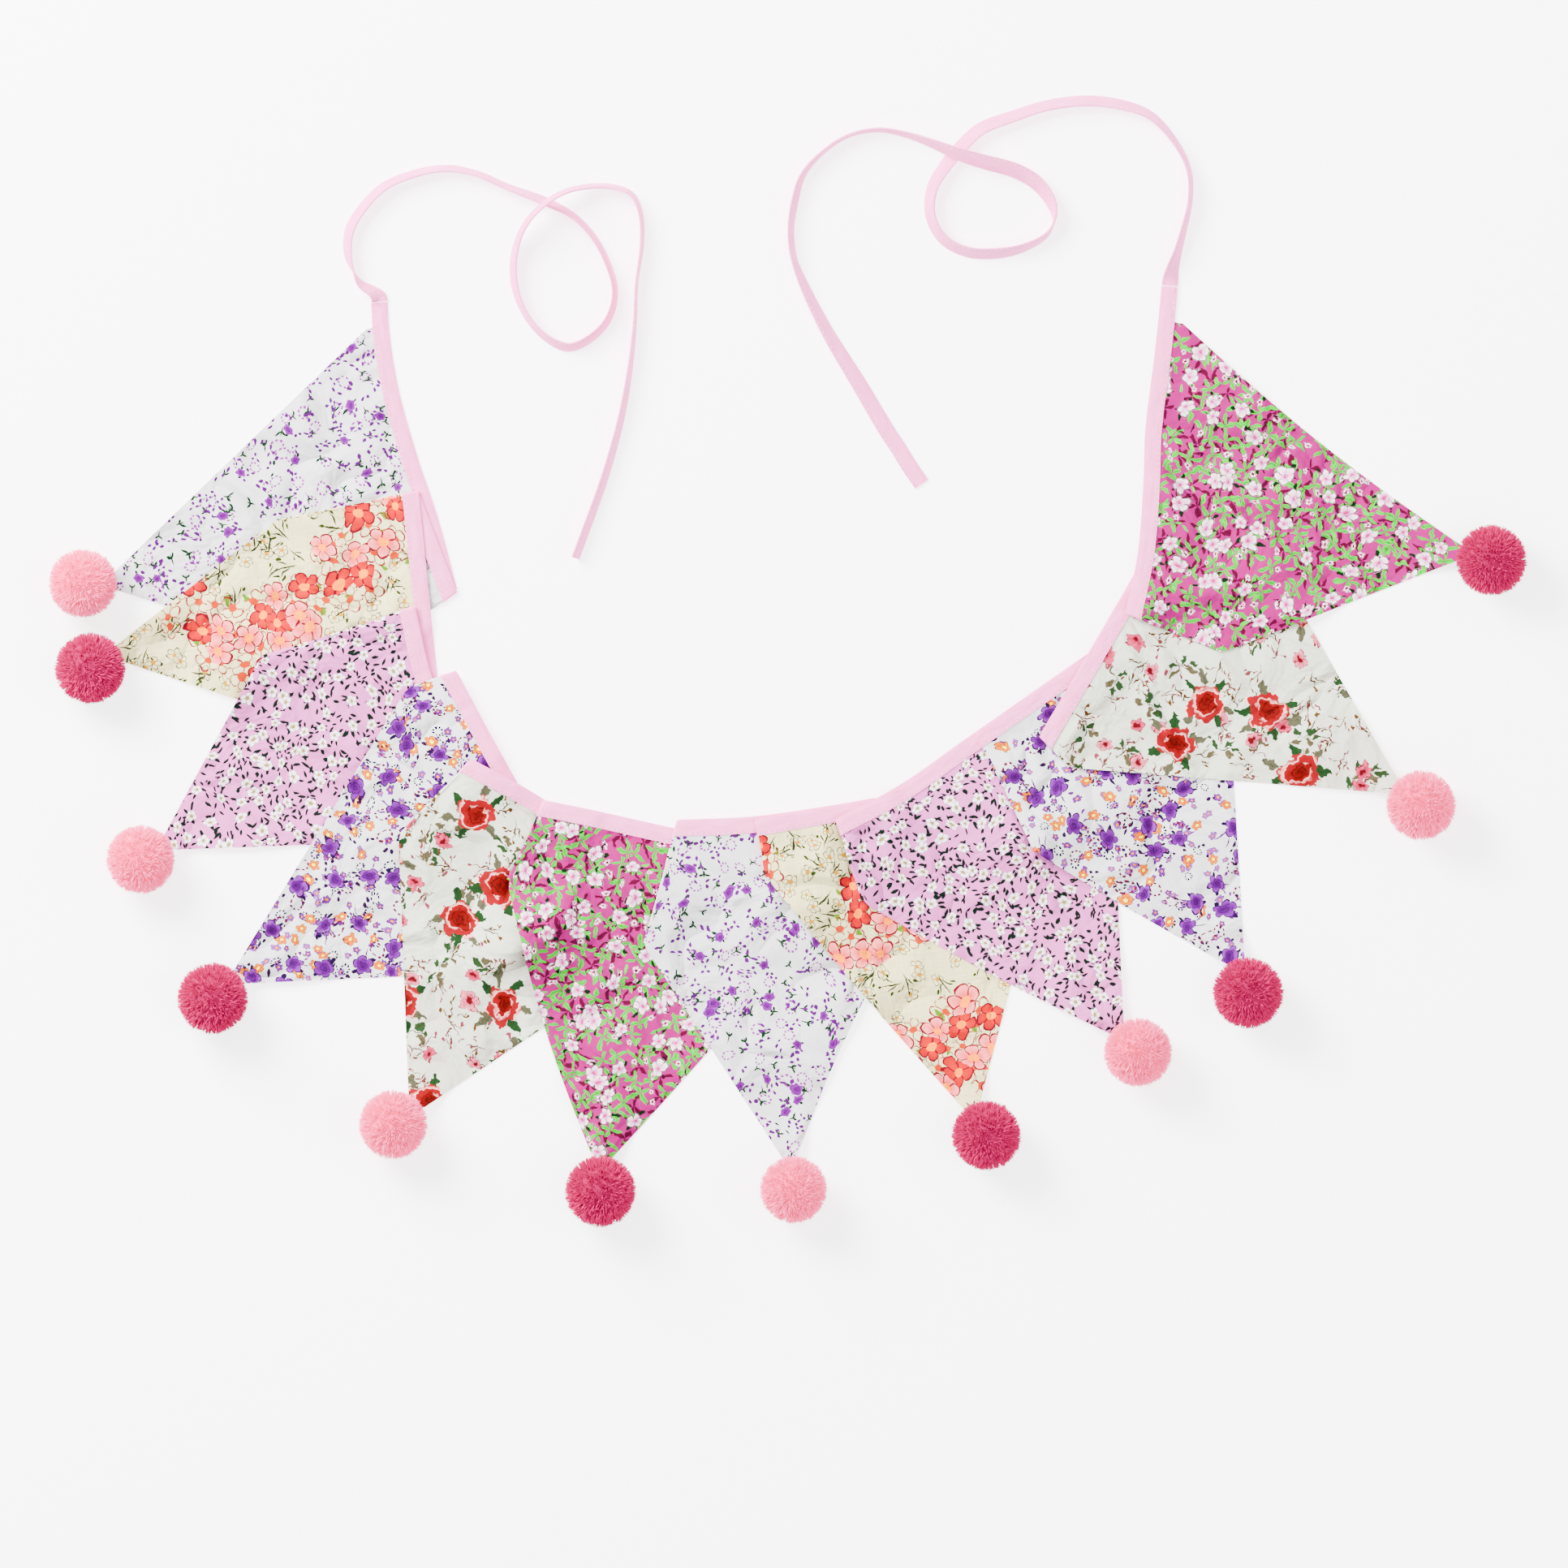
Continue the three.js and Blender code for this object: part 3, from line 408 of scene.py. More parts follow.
def lay_down(ribs, heights, tip=None):
    xy = np.array([rib.xy for rib in ribs])
    under = heights.under(xy)
    rest = DEPTHS / 2 + np.where(under > 0, under + CLEAR, 0)
    if tip is not None:
        rest = rest + ripples(xy) * np.clip((np.arange(COLUMNS) - 2) / 8, 0, 1)
        near = np.clip(np.linalg.norm(xy - tip[0], axis=2) / TIP_RISE, 0, 1)
        rest = np.maximum(rest, tip[1] * (1 - near) ** 1.5)
    rest[:, :2] = rest[:, :2].max(axis=1, keepdims=True)
    z = rest.copy()
    for _ in range(EASE_PASSES):
        wide = np.pad(z, 1, mode="edge")
        around = (wide[:-2, 1:-1] + wide[2:, 1:-1] + wide[1:-1, :-2] + wide[1:-1, 2:]) / 4
        z = np.maximum(rest, around - SAG)
        z[:, :2] = z[:, :2].max(axis=1, keepdims=True)
    for rib, levels in zip(ribs, z):
        rib.z = levels
    cloth = [i for i, rib in enumerate(ribs) if not rib.tape_only]
    heights.add(xy[cloth], z[cloth] + DEPTHS / 2)


print("a layer eases in", EASE_PASSES, "passes")

# %% [markdown]
# ## Rolling over a fold
#
# Between two pennants the string doubles back: cloth and tape turn over a soft round edge,
# not a sharp crease. A few ribs go round half a circle from the upper layer to the lower.
# A turned corner is mirrored back to find its place on the flat cloth.

# %% Turns and turned corners
def fold_direction(fold, inner):
    out = turned(unit(fold.xy[-1] - fold.xy[0]))
    return -out if out @ (inner.xy[0] - fold.xy[0]) > 0 else out


def turn_ribs(main, flap, out, side, heights):
    rounds = []
    for angle in np.linspace(0, math.pi, TURN_STEPS + 1)[1:-1]:
        radius = np.abs(main.z - flap.z) / 2
        rib = Rib(main.xy[0], main.xy[-1], out)
        rib.xy = main.xy + out * (radius * math.sin(angle))[:, None]
        rib.z = (main.z + flap.z) / 2 + side * radius * math.cos(angle)
        rib.face = out * side * math.sin(angle)
        rib.up = math.cos(angle)
        rib.flat = main.flat
        rounds.append(rib)
    shell = [main, *rounds, flap]
    heights.add(np.array([rib.xy + rib.face * side * CLOTH / 2 for rib in shell]),
                np.array([rib.z + np.abs(rib.up) * DEPTHS / 2 for rib in shell]))
    return rounds


def mirrored(ribs, line):
    """Puts a turned corner back where it was on the flat cloth."""
    root, along = line.xy[0], unit(line.xy[-1] - line.xy[0])
    across = turned(along)
    for rib in ribs:
        off = (rib.xy - root) @ across
        rib.flat = rib.xy - 2 * off[:, None] * across
        rib.up = -1.0


print("ribs round a turn:", TURN_STEPS - 1)

# %% [markdown]
# ## Stacking the string
#
# The pennants are laid in the order of the tape. Before each one come the end corner of
# the last pennant and its own first corner, both turned under, so the pile grows as it
# does on a table. The edges are drawn in first, to leave room for the turns.

# %% Room for the turns
outs = []
for index, ribs in enumerate(mains):
    ways = (fold_direction(ribs[0], ribs[1]), fold_direction(ribs[-1], ribs[-2]))
    outs.append(ways)
    if index > 0:
        ribs[0].xy -= ways[0] * TURN_ROOM
    if index < len(mains) - 1:
        ribs[-1].xy -= ways[1] * TURN_ROOM

print("turns:", 2 * len(mains) - 2)

# %% One pennant on the next
heights = HeightMap()
strings = [list(ribs) for ribs in mains]
lay_down(mains[0], heights, tip_place(PENNANTS[0]))
for index in range(1, len(mains)):
    before, here = mains[index - 1], mains[index]
    turn_line, fold_line = before[-1], here[0]
    corner = mix(fold_line.xy[0], turn_line.xy[0], PENNANTS[index]["corner"])
    turned_up = flap_ribs(corner, turn_line.xy[0], turn_line.xy[-1])[::-1]
    folded = flap_ribs(corner, fold_line.xy[0], fold_line.xy[-1])
    turned_up[0].xy = turn_line.xy.copy()
    folded[-1].xy = fold_line.xy.copy()
    mirrored(turned_up, turn_line)
    mirrored(folded, fold_line)
    lay_down(turned_up, heights)
    lay_down(folded, heights)
    turn = turn_ribs(turn_line, turned_up[0], outs[index - 1][1], -1, heights)
    strings[index - 1] += turn + turned_up
    lay_down(here, heights, tip_place(PENNANTS[index]))
    fold = turn_ribs(fold_line, folded[-1], outs[index][0], 1, heights)
    strings[index] = folded + fold[::-1] + strings[index]
print("the pile is", round(float(heights.top.max()), 1), "mm high")

# %% [markdown]
# ## From ribs to sheets
#
# A plane with a Solidify modifier would be simpler, but its two faces would meet at the
# tight folds. So a sheet is one closed loop of points carried from rib to rib. The loop's
# place on the flat cloth goes into a UV map in millimetres, and `reverse` marks the back.

# %% A closed sheet from loops
def select_only(made):
    bpy.ops.object.select_all(action="DESELECT")
    made.select_set(True)
    bpy.context.view_layer.objects.active = made


def tidy_normals(made):
    """The faces point outwards."""
    select_only(made)
    bpy.ops.object.mode_set(mode="EDIT")
    bpy.ops.mesh.select_all(action="SELECT")
    bpy.ops.mesh.normals_make_consistent(inside=False)
    bpy.ops.object.mode_set(mode="OBJECT")


def loop_mesh(name, sections, flat=None, reverse=None):
    sections = np.array(sections)
    rows, count = sections.shape[:2]
    first = np.arange(rows - 1)[:, None] * count
    k = np.arange(count)
    after = (k + 1) % count
    quads = np.stack([first + k, first + after, first + after + count, first + k + count], axis=2)
    faces = quads.reshape(-1, 4).tolist()
    half = count // 2
    for start, flip in ((0, True), ((rows - 1) * count, False)):
        for j in range(half - 1):
            cap = [start + j, start + j + 1, start + count - 2 - j, start + count - 1 - j]
            faces.append(cap[::-1] if flip else cap)
    mesh = bpy.data.meshes.new(name)
    mesh.from_pydata((sections.reshape(-1, 3) * MM).tolist(), [], faces)
    if flat is not None:
        layer = mesh.uv_layers.new(name="Cloth")
        corners = np.empty(len(mesh.loops), np.int64)
        mesh.loops.foreach_get("vertex_index", corners)
        layer.data.foreach_set("uv", np.array(flat).reshape(-1, 2)[corners].ravel())
    if reverse is not None:
        back = mesh.attributes.new("reverse", "FLOAT", "POINT")
        back.data.foreach_set("value", np.tile(reverse, rows).astype(np.float32))
    mesh.validate()
    made = bpy.data.objects.new(name, mesh)
    bpy.context.scene.collection.objects.link(made)
    tidy_normals(made)
    bpy.ops.object.shade_smooth_by_angle(angle=math.radians(50))
    return made


print("loop_mesh joins each loop to the next and closes both ends")

# %% [markdown]
# ## The pennants
#
# Each pennant is its own sheet, a front and a back half a cloth's thickness from the rib.
# The print starts at another place on each, as it does when pieces are cut from a length.

# %% The twelve pennants
PRINT_SHIFT = np.array([173.0, 61.0])
EDGE_INSIDE_TAPE = 0.08


def offset(rib, points, heights_at, distance):
    shifted = points + rib.face * distance
    return np.column_stack([shifted, heights_at + rib.up * distance])


def pennant(row, ribs, number):
    sheet = [rib for rib in ribs if not rib.tape_only]
    edge = np.array(row["edge"], float)
    along = unit(edge[-1] - edge[0])
    to_cloth = np.array([along, turned(along)]).T
    sections, flat = [], []
    for rib in sheet:
        xy, z = rib.xy.copy(), rib.z
        xy[0] = mix(xy[0], xy[1], EDGE_INSIDE_TAPE)
        front = offset(rib, xy, z, CLOTH / 2)
        back = offset(rib, xy, z, -CLOTH / 2)[::-1]
        sections.append(np.vstack([front, back]))
        place = (rib.flat - edge[0]) @ to_cloth + PRINT_SHIFT * number
        flat.append(np.vstack([place, place[::-1]]))
    reverse = np.array([0] * COLUMNS + [1] * COLUMNS)
    return loop_mesh(f"pennant_{number:02d}", sections, flat, reverse)


pennants = [pennant(row, ribs, i + 1) for i, (row, ribs) in enumerate(zip(PENNANTS, strings))]
print("pennants made:", len(pennants))

# %% [markdown]
# ## The tape
#
# The tape is folded over the top edge of the cloth and sewn through. The same ribs carry
# its section: two leaves joined along the outer edge. Its UV map runs along and across it,
# so the sewn line stays beside the inner edge round every turn.

# %% The tape's section
def tape_section(rib):
    (edge, hem), z = rib.xy[:2], rib.z[:2]
    inner, outer = TAPE_DEPTH / 2 - LEAF, TAPE_DEPTH / 2
    wall = mix(edge, hem, LEAF / TAPE_WIDTH)
    middle = mix(edge, hem, 0.5)
    bead = mix(edge, hem, 0.05)
    level = z[0]
    loop = [(edge, outer * 0.55), (bead, outer), (middle, outer * 1.02), (hem, outer), (hem, inner),
            (middle, inner), (wall, inner), (wall, -inner), (middle, -inner), (hem, -inner),
            (hem, -outer), (middle, -outer * 1.02), (bead, -outer), (edge, -outer * 0.55)]
    return np.array([offset(rib, np.array([p]), np.array([level]), far)[0] for p, far in loop])


print("points round the tape's section:", len(tape_section(mains[0][0])))

# %% The tape along all pennants
all_ribs = [rib for ribs in strings for rib in ribs]
sections = [tape_section(rib) for rib in all_ribs]
roots = np.array([np.append(rib.xy[0], rib.z[0]) for rib in all_ribs])
gone = np.concatenate([[0], np.cumsum(np.linalg.norm(np.diff(roots, axis=0), axis=1))])
leaf_across = [0, 0.5, TAPE_WIDTH / 2, TAPE_WIDTH, TAPE_WIDTH, TAPE_WIDTH / 2, LEAF]
across = np.array(leaf_across + leaf_across[::-1])
tape_flat = [np.column_stack([np.full(len(across), far), across]) for far in gone]
tape = loop_mesh("tape_binding", sections, tape_flat)
print("tape length on the pennants:", round(gone[-1]), "mm")

# %% [markdown]
# ## The ties
#
# The same tape goes on past the pennants, sewn shut. It lies loosely, mostly on its narrow
# edge, and crosses itself. Each row is a place, the roll about the route, 0 flat and 90 on
# edge, and a lift where it passes over itself. The places are a free route, given one by one.

# %% Table of the two ties
TIE_THICKNESS = 1.1
TIES = {
    "tie_left": [
        (-226.6, 199.2, 0, 0.7), (-226.9, 201.2, 12, 0.5), (-230, 204.6, 48, 0.1), (-237, 209, 66, 0),
        (-241, 216, 92, 0), (-244, 226, 116, 0), (-243, 239, 122, 0), (-236, 251, 121, 0),
        (-224, 263, 118, 0), (-204, 271, 114, 0), (-188, 273, 112, 0), (-172, 270, 108, 0),
        (-156, 263, 110, 0), (-135, 255, 118, 0), (-121, 248, 110, 0), (-111, 239, 108, 0),
        (-102, 225, 108, 0), (-96, 205, 108, 0), (-100, 189, 113, 0), (-111, 178, 118, 0),
        (-122, 174, 119, 0), (-135, 180, 112, 0), (-146, 193, 108, 0), (-152, 211, 112, 0),
        (-151, 229, 110, 1.5), (-145, 243, 107, 7.6), (-135, 253.5, 106, 9.6), (-124, 260, 105, 7.6),
        (-111, 263, 104, 2), (-98, 263, 104, 0), (-87, 259, 103, 0), (-82, 249, 102, 0),
        (-81, 232, 100, 0), (-84, 209, 96, 0), (-85, 187, 99, 0), (-88, 160, 106, 0),
        (-93, 133, 112, 0), (-102, 101, 116, 0), (-112, 73, 117, 0), (-118, 57, 117, 0),
    ],
    "tie_right": [
        (211.6, 208.1, 0, 0.7), (211.8, 210.6, 8, 0.6), (213, 217, 40, 0.1), (216, 227, 62, 0),
        (219, 238, 70, 0), (223, 256, 77, 0), (222, 273, 76, 0), (213, 290, 70, 0),
        (200, 303, 62, 0), (184, 308.5, 54, 0), (166, 310.5, 52, 0), (144, 308, 52, 0),
        (125, 302, 48, 0), (107, 295, 42, 0), (96, 285, 38, 0), (87, 274, 42, 0),
        (80, 262, 50, 0), (79, 247, 54, 0), (86, 234, 54, 0), (99, 227, 53, 0),
        (114, 226, 52, 0), (130, 229, 62, 0), (143, 236, 76, 0), (147.5, 244, 95, 0),
        (146, 254, 128, 0.5), (138, 265, 150, 2), (126, 272, 156, 4.6), (110, 276.5, 152, 7),
        (95, 281, 138, 7.6), (80, 287, 120, 4.6), (65, 292, 108, 0.6), (50, 294.5, 102, 0),
        (33, 291, 99, 0), (18, 281, 101, 0), (8, 269, 108, 0), (3.5, 254, 114, 0),
        (1.5, 239, 110, 0), (3, 224, 110, 0), (9, 208, 122, 0), (22, 182, 138, 0),
        (39, 154, 158, 0), (55, 127, 176, 0), (61, 118, 180, 0), (66.5, 109, 180, 0), (74, 98, 180, 0),
    ],
}


print({name: len(rows) for name, rows in TIES.items()})

# %% [markdown]
# ## Rolling a ribbon along its route
#
# A curve with a bevel would turn the ribbon by itself, and not as the photo shows. So the
# section is set at each step from the roll in the table, and lifted until it rests.

# %% Frames along a tie
TIE_STEPS = 10


def tie_frames(rows):
    """Centre, across and through for each step along a tie."""
    rows = np.array(rows, float)
    steps = np.linspace(0, len(rows) - 1, TIE_STEPS * (len(rows) - 1) + 1)
    line, turns = through(rows[:, :2], steps), through(rows[:, 2:], steps)
    headings = np.gradient(line, axis=0)
    frames = []
    for place, heading, (roll, lift) in zip(line, headings, turns):
        side, roll = turned(unit(heading)), math.radians(roll)
        wide = np.append(side * math.cos(roll), math.sin(roll)) * TAPE_WIDTH / 2
        thick = np.append(-side * math.sin(roll), math.cos(roll)) * TIE_THICKNESS / 2
        height = abs(wide[2]) + abs(thick[2]) + max(0, lift)
        frames.append((np.append(place, height), wide, thick))
    return frames


tie_steps = {name: tie_frames(rows) for name, rows in TIES.items()}
print("steps:", {name: len(frames) for name, frames in tie_steps.items()})

# %% The two ties
TIE_LOOP = [(-1, -0.6), (-0.9, -1), (0, -0.92), (0.86, -1), (0.95, -0.7),
            (0.95, 0.7), (0.86, 1), (0, 0.92), (-0.9, 1), (-1, 0.6)]
ties = []
for name, frames in tie_steps.items():
    middles = np.array([centre for centre, _, _ in frames])
    far = np.concatenate([[0], np.cumsum(np.linalg.norm(np.diff(middles, axis=0), axis=1))])
    loops = [[centre + wide * a + thick * b for a, b in TIE_LOOP] for centre, wide, thick in frames]
    flat = [[(reach, (1 + a) * TAPE_WIDTH / 2) for a, _ in TIE_LOOP] for reach in far]
    ties.append(loop_mesh("ribbon_" + name, loops, flat))
    print(name, round(far[-1]), "mm long")

# %% [markdown]
# ## Stitches
#
# Machine stitches run along the tape's inner edge and show as small raised dashes. A
# texture could draw them, but they would not stand up at a low angle. So each is a small
# spindle of five sides, set on the line on both faces.

# %% One row of stitches
STITCH_LENGTH = 2.3
STITCH_PITCH = 3.1
STITCH_RADIUS = 0.17
STITCH_SIDES = 5
STITCH_FLATNESS = 0.8
LOWEST_STITCH = 0.02
SPINDLE = [(-0.5, 0.25), (-0.25, 1.0), (0.25, 1.0), (0.5, 0.25)]


def stitch_row(line, outwards):
    """Points and faces of the stitches along a line on the cloth."""
    line = np.array(line)
    gone = np.concatenate([[0], np.cumsum(np.linalg.norm(np.diff(line, axis=0), axis=1))])
    centres = np.arange(STITCH_PITCH, gone[-1] - STITCH_PITCH, STITCH_PITCH)

    def at(far, table):
        return np.array([np.interp(far, gone, table[:, k]) for k in range(3)])

    points, faces = [], []
    for centre in centres:
        place, up = at(centre, line), unit(at(centre, np.array(outwards)))
        ahead = unit(at(centre + 1, line) - at(centre - 1, line))
        side = np.cross(ahead, up)
        start = len(points)
        for far, radius in SPINDLE:
            for k in range(STITCH_SIDES):
                turn = 2 * math.pi * k / STITCH_SIDES
                ring = side * math.cos(turn) + up * math.sin(turn) * STITCH_FLATNESS
                points.append(place + ahead * far * STITCH_LENGTH + ring * radius * STITCH_RADIUS)
        if min(point[2] for point in points[start:]) < LOWEST_STITCH:
            del points[start:]
            continue
        for ring in range(len(SPINDLE) - 1):
            first = start + ring * STITCH_SIDES
            for k in range(STITCH_SIDES):
                a, b = first + k, first + (k + 1) % STITCH_SIDES
                faces.append([a, b, b + STITCH_SIDES, a + STITCH_SIDES])
        faces.append([start + k for k in reversed(range(STITCH_SIDES))])
        faces.append([first + STITCH_SIDES + k for k in range(STITCH_SIDES)])
    return points, faces


print("a stitch each", STITCH_PITCH, "mm")

# %% [markdown]
# ## Sewing the tape and ties
#
# All stitches of one strip are one mesh. Those that would lie below the surface are not
# made, because nothing shows there.

# %% Stitch rows on the strips
SEAM_INSET = 1.2
THREAD_LIFT = 0.02
TIE_SEAM_SHARE = 0.72
TIE_THREAD_SHARE = 0.97


def stitches(name, rows):
    points, faces = [], []
    for line, outwards in rows:
        more, theirs = stitch_row(line, outwards)
        faces += [[k + len(points) for k in face] for face in theirs]
        points += more
    mesh = bpy.data.meshes.new(name)
    mesh.from_pydata((np.array(points) * MM).tolist(), [], faces)
    made = bpy.data.objects.new(name, mesh)
    bpy.context.scene.collection.objects.link(made)
    tidy_normals(made)
    bpy.ops.object.shade_smooth()
    return made


def on_tape(side):
    line, ways = [], []
    for rib in all_ribs:
        place = mix(rib.xy[1], rib.xy[0], SEAM_INSET / TAPE_WIDTH)
        line.append(offset(rib, place[None], rib.z[:1], side * (TAPE_DEPTH / 2 + THREAD_LIFT))[0])
        ways.append(np.append(rib.face, rib.up) * side)
    return line, ways


def on_tie(frames, side):
    line = [centre + wide * TIE_SEAM_SHARE + thick * side * TIE_THREAD_SHARE
            for centre, wide, thick in frames]
    return line, [thick * side for _, _, thick in frames]


sewing = [stitches("stitches_binding", [on_tape(1), on_tape(-1)])]
for name, frames in tie_steps.items():
    sewing.append(stitches("stitches_" + name, [on_tie(frames, 1), on_tie(frames, -1)]))
print("stitch faces:", [len(made.data.polygons) for made in sewing])

# %% [markdown]
# ## Pompoms
#
# A pompom is hundreds of yarn ends cut to a ball. Hair would show them well, but it is not
# a mesh. So each end is a bunch of thin tapered strands of three sides, spread evenly over
# a ball round a hidden core, and those underneath are bent level with the surface.

# %% Directions on a ball
TUFTS = 900
STRANDS_PER_TUFT = 4
STRAND_RADIUS = 0.3


def sphere_points(count, rng):
    k = np.arange(count) + 0.5
    z = 1 - 2 * k / count
    turn = math.pi * (1 + 5 ** 0.5) * k + rng.uniform(0, 6.3)
    ring = np.sqrt(1 - z * z)
    return np.column_stack([ring * np.cos(turn), ring * np.sin(turn), z])


def unit_rows(v):
    return v / np.linalg.norm(v, axis=1, keepdims=True)


print("tufts on a pompom:", TUFTS)

# %% [markdown]
# ## Strands of yarn
#
# Every strand gets its own length, lean and bend, because real yarn is never combed. The
# strands' points are three rings: low, near the end, and the thin end itself.

# %% The points of all strands
STRAND_RINGS = ((0.7, 1.0, 0), (0.88, 1.0, 0.3), (1.0, 0.45, 0))
LOWEST = 0.25
TUFT_SPREAD, TIP_SPREAD_OF_YARN, ROOT_SPREAD = 0.05, 0.05, 0.03
TRIM, TUFT_UNEVEN, STRAND_UNEVEN = 0.985, 0.014, 0.012


def strand_points(radius, centre, rng):
    tufts = sphere_points(TUFTS, rng)
    tufts = unit_rows(tufts + rng.normal(0, TUFT_SPREAD, tufts.shape))
    long = radius * (TRIM + rng.normal(0, TUFT_UNEVEN, TUFTS))
    way = np.repeat(tufts, STRANDS_PER_TUFT, axis=0)
    reach = np.repeat(long, STRANDS_PER_TUFT) * (1 + rng.normal(0, STRAND_UNEVEN, len(way)))
    tip_way = unit_rows(way + rng.normal(0, TIP_SPREAD_OF_YARN, way.shape))
    root_way = unit_rows(way + rng.normal(0, ROOT_SPREAD, way.shape))
    side = unit_rows(np.cross(way, rng.normal(size=way.shape)))
    curl = np.cross(way, side)
    rings = []
    for share, width, bend in STRAND_RINGS:
        along = unit_rows(root_way * (1 - share) + tip_way * share)
        lean = side * (bend * rng.uniform(0.4, 1, (len(way), 1)))
        middle = along * (reach * share)[:, None] + lean
        for k in range(3):
            turn = 2 * math.pi * k / 3
            ring = (side * math.cos(turn) + curl * math.sin(turn)) * width * STRAND_RADIUS
            rings.append(middle + ring + centre)
    points = np.array(rings).reshape(3, 3, len(way), 3).transpose(2, 0, 1, 3)
    points[..., 2] = np.maximum(points[..., 2], LOWEST)
    return points


print("strands on a pompom:", TUFTS * STRANDS_PER_TUFT)

# %% [markdown]
# ## A pompom and its core
#
# Each strand carries two values for its material: `strand`, a shade of its own, and
# `depth`, how far out along the yarn a point is, by which the yarn is painted darker lower
# down as painted shade. The core closes the view between strands.

# %% The twelve pompoms
CORE_RADIUS = 0.84
RING_DEPTHS = [0.3, 0.8, 1.0]


def yarn_ball(name, points, rng):
    count = len(points)
    sides = [[r * 3 + k, r * 3 + (k + 1) % 3, r * 3 + 3 + (k + 1) % 3, r * 3 + 3 + k]
             for r in range(2) for k in range(3)]
    first = (np.arange(count) * 9)[:, None, None]
    quads = (np.array(sides)[None] + first).reshape(-1, 4).tolist()
    ends = (np.array([6, 7, 8])[None] + first[:, 0]).tolist()
    mesh = bpy.data.meshes.new(name)
    mesh.from_pydata((points.reshape(-1, 3) * MM).tolist(), [], quads + ends)
    shade = mesh.attributes.new("strand", "FLOAT", "POINT")
    shade.data.foreach_set("value", np.repeat(rng.uniform(0, 1, count), 9).astype(np.float32))
    depth = mesh.attributes.new("depth", "FLOAT", "POINT")
    outward = np.tile(np.repeat(RING_DEPTHS, 3), count).astype(np.float32)
    depth.data.foreach_set("value", outward)
    made = bpy.data.objects.new(name, mesh)
    bpy.context.scene.collection.objects.link(made)
    return made


def pompom(row, number):
    rng = np.random.default_rng(100 + number)
    radius = row["size"]
    centre = np.array([*row["pompom"], radius - POMPOM_SINK])
    made = yarn_ball(f"yarn_{number:02d}", strand_points(radius, centre, rng), rng)
    bpy.ops.object.select_all(action="DESELECT")
    bpy.ops.mesh.primitive_uv_sphere_add(segments=24, ring_count=14, location=centre * MM,
                                         radius=radius * CORE_RADIUS * MM)
    core = bpy.context.active_object
    core.name = f"yarn_core_{number:02d}"
    bpy.ops.object.transform_apply(location=True, rotation=False, scale=False)
    bpy.ops.object.shade_smooth()
    return made, core


pompoms = [pompom(row, i + 1) for i, row in enumerate(PENNANTS)]
print("pompoms made:", len(pompoms))

# %% [markdown]
# ## Node helpers
#
# Every print is a shader built from nodes. Wiring them in full takes four lines a node, so
# `Wires` shortens it: a number is set on the socket, and anything else is linked. Each short
# word below is one node.

# %% Short words for wiring nodes
class Wires:
    def __init__(self, tree):
        self.tree = tree

    def put(self, kind, settings=None, out=0, **inputs):
        node = self.tree.nodes.new(kind)
        for key, value in (settings or {}).items():
            setattr(node, key, value)
        for key, value in inputs.items():
            numbered = key[0] == "i" and key[1:].isdigit()
            self.feed(node.inputs[int(key[1:]) if numbered else key.replace("_", " ")], value)
        return node.outputs[out]

    def feed(self, socket, value):
        if isinstance(value, bpy.types.NodeSocket):
            self.tree.links.new(value, socket)
        else:
            socket.default_value = value

    def math(self, operation, a, b=0.0, clamp=False):
        return self.put("ShaderNodeMath", dict(operation=operation, use_clamp=clamp), i0=a, i1=b)

    def plus(self, a, b):
        return self.math("ADD", a, b)

    def minus(self, a, b, clamp=False):
        return self.math("SUBTRACT", a, b, clamp)

    def times(self, a, b, clamp=False):
        return self.math("MULTIPLY", a, b, clamp)

    def shared(self, a, b, clamp=False):
        return self.math("DIVIDE", a, b, clamp)

    def vector(self, operation, a, b=(0, 0, 0)):
        return self.put("ShaderNodeVectorMath", dict(operation=operation), i0=a, i1=b)

    def join(self, x=0.0, y=0.0, z=0.0):
        return self.put("ShaderNodeCombineXYZ", X=x, Y=y, Z=z)

    def split(self, place):
        node = self.tree.nodes.new("ShaderNodeSeparateXYZ")
        self.feed(node.inputs[0], place)
        return node.outputs

    def length(self, a):
        return self.put("ShaderNodeVectorMath", dict(operation="LENGTH"), out="Value", i0=a)

    def spin(self, place, angle):
        return self.put("ShaderNodeVectorRotate", dict(rotation_type="Z_AXIS"), Vector=place, Angle=angle)

    def noise(self, place, scale, detail, out=0, roughness=0.5, dimensions="2D"):
        return self.put("ShaderNodeTexNoise", dict(noise_dimensions=dimensions), out,
                        Vector=place, Scale=scale, Detail=detail, Roughness=roughness)

    def within(self, distance, soft=0.22):
        """1 where a distance is below zero, with a soft edge in millimetres."""
        return self.minus(0.5, self.shared(distance, soft), clamp=True)

    def over(self, below, above, mask):
        node = self.tree.nodes.new("ShaderNodeMix")
        node.data_type = "RGBA"
        self.feed(node.inputs["Factor"], mask)
        self.feed(node.inputs[6], below)
        self.feed(node.inputs[7], above)
        return node.outputs[2]

    def use(self, shared, **inputs):
        node = self.tree.nodes.new("ShaderNodeGroup")
        node.node_tree = shared
        for key, value in inputs.items():
            self.feed(node.inputs[key.replace("_", " ")], value)
        return node.outputs


print("short words:", [word for word in vars(Wires) if not word.startswith("_")])

# %% [markdown]
# ## Node groups
#
# A motif that several prints share is a node group, so that one change reaches them all. Its
# sockets are named in a short text: v for a vector and f for a number.

# %% A group and its sockets
KINDS = {"v": "NodeSocketVector", "f": "NodeSocketFloat"}


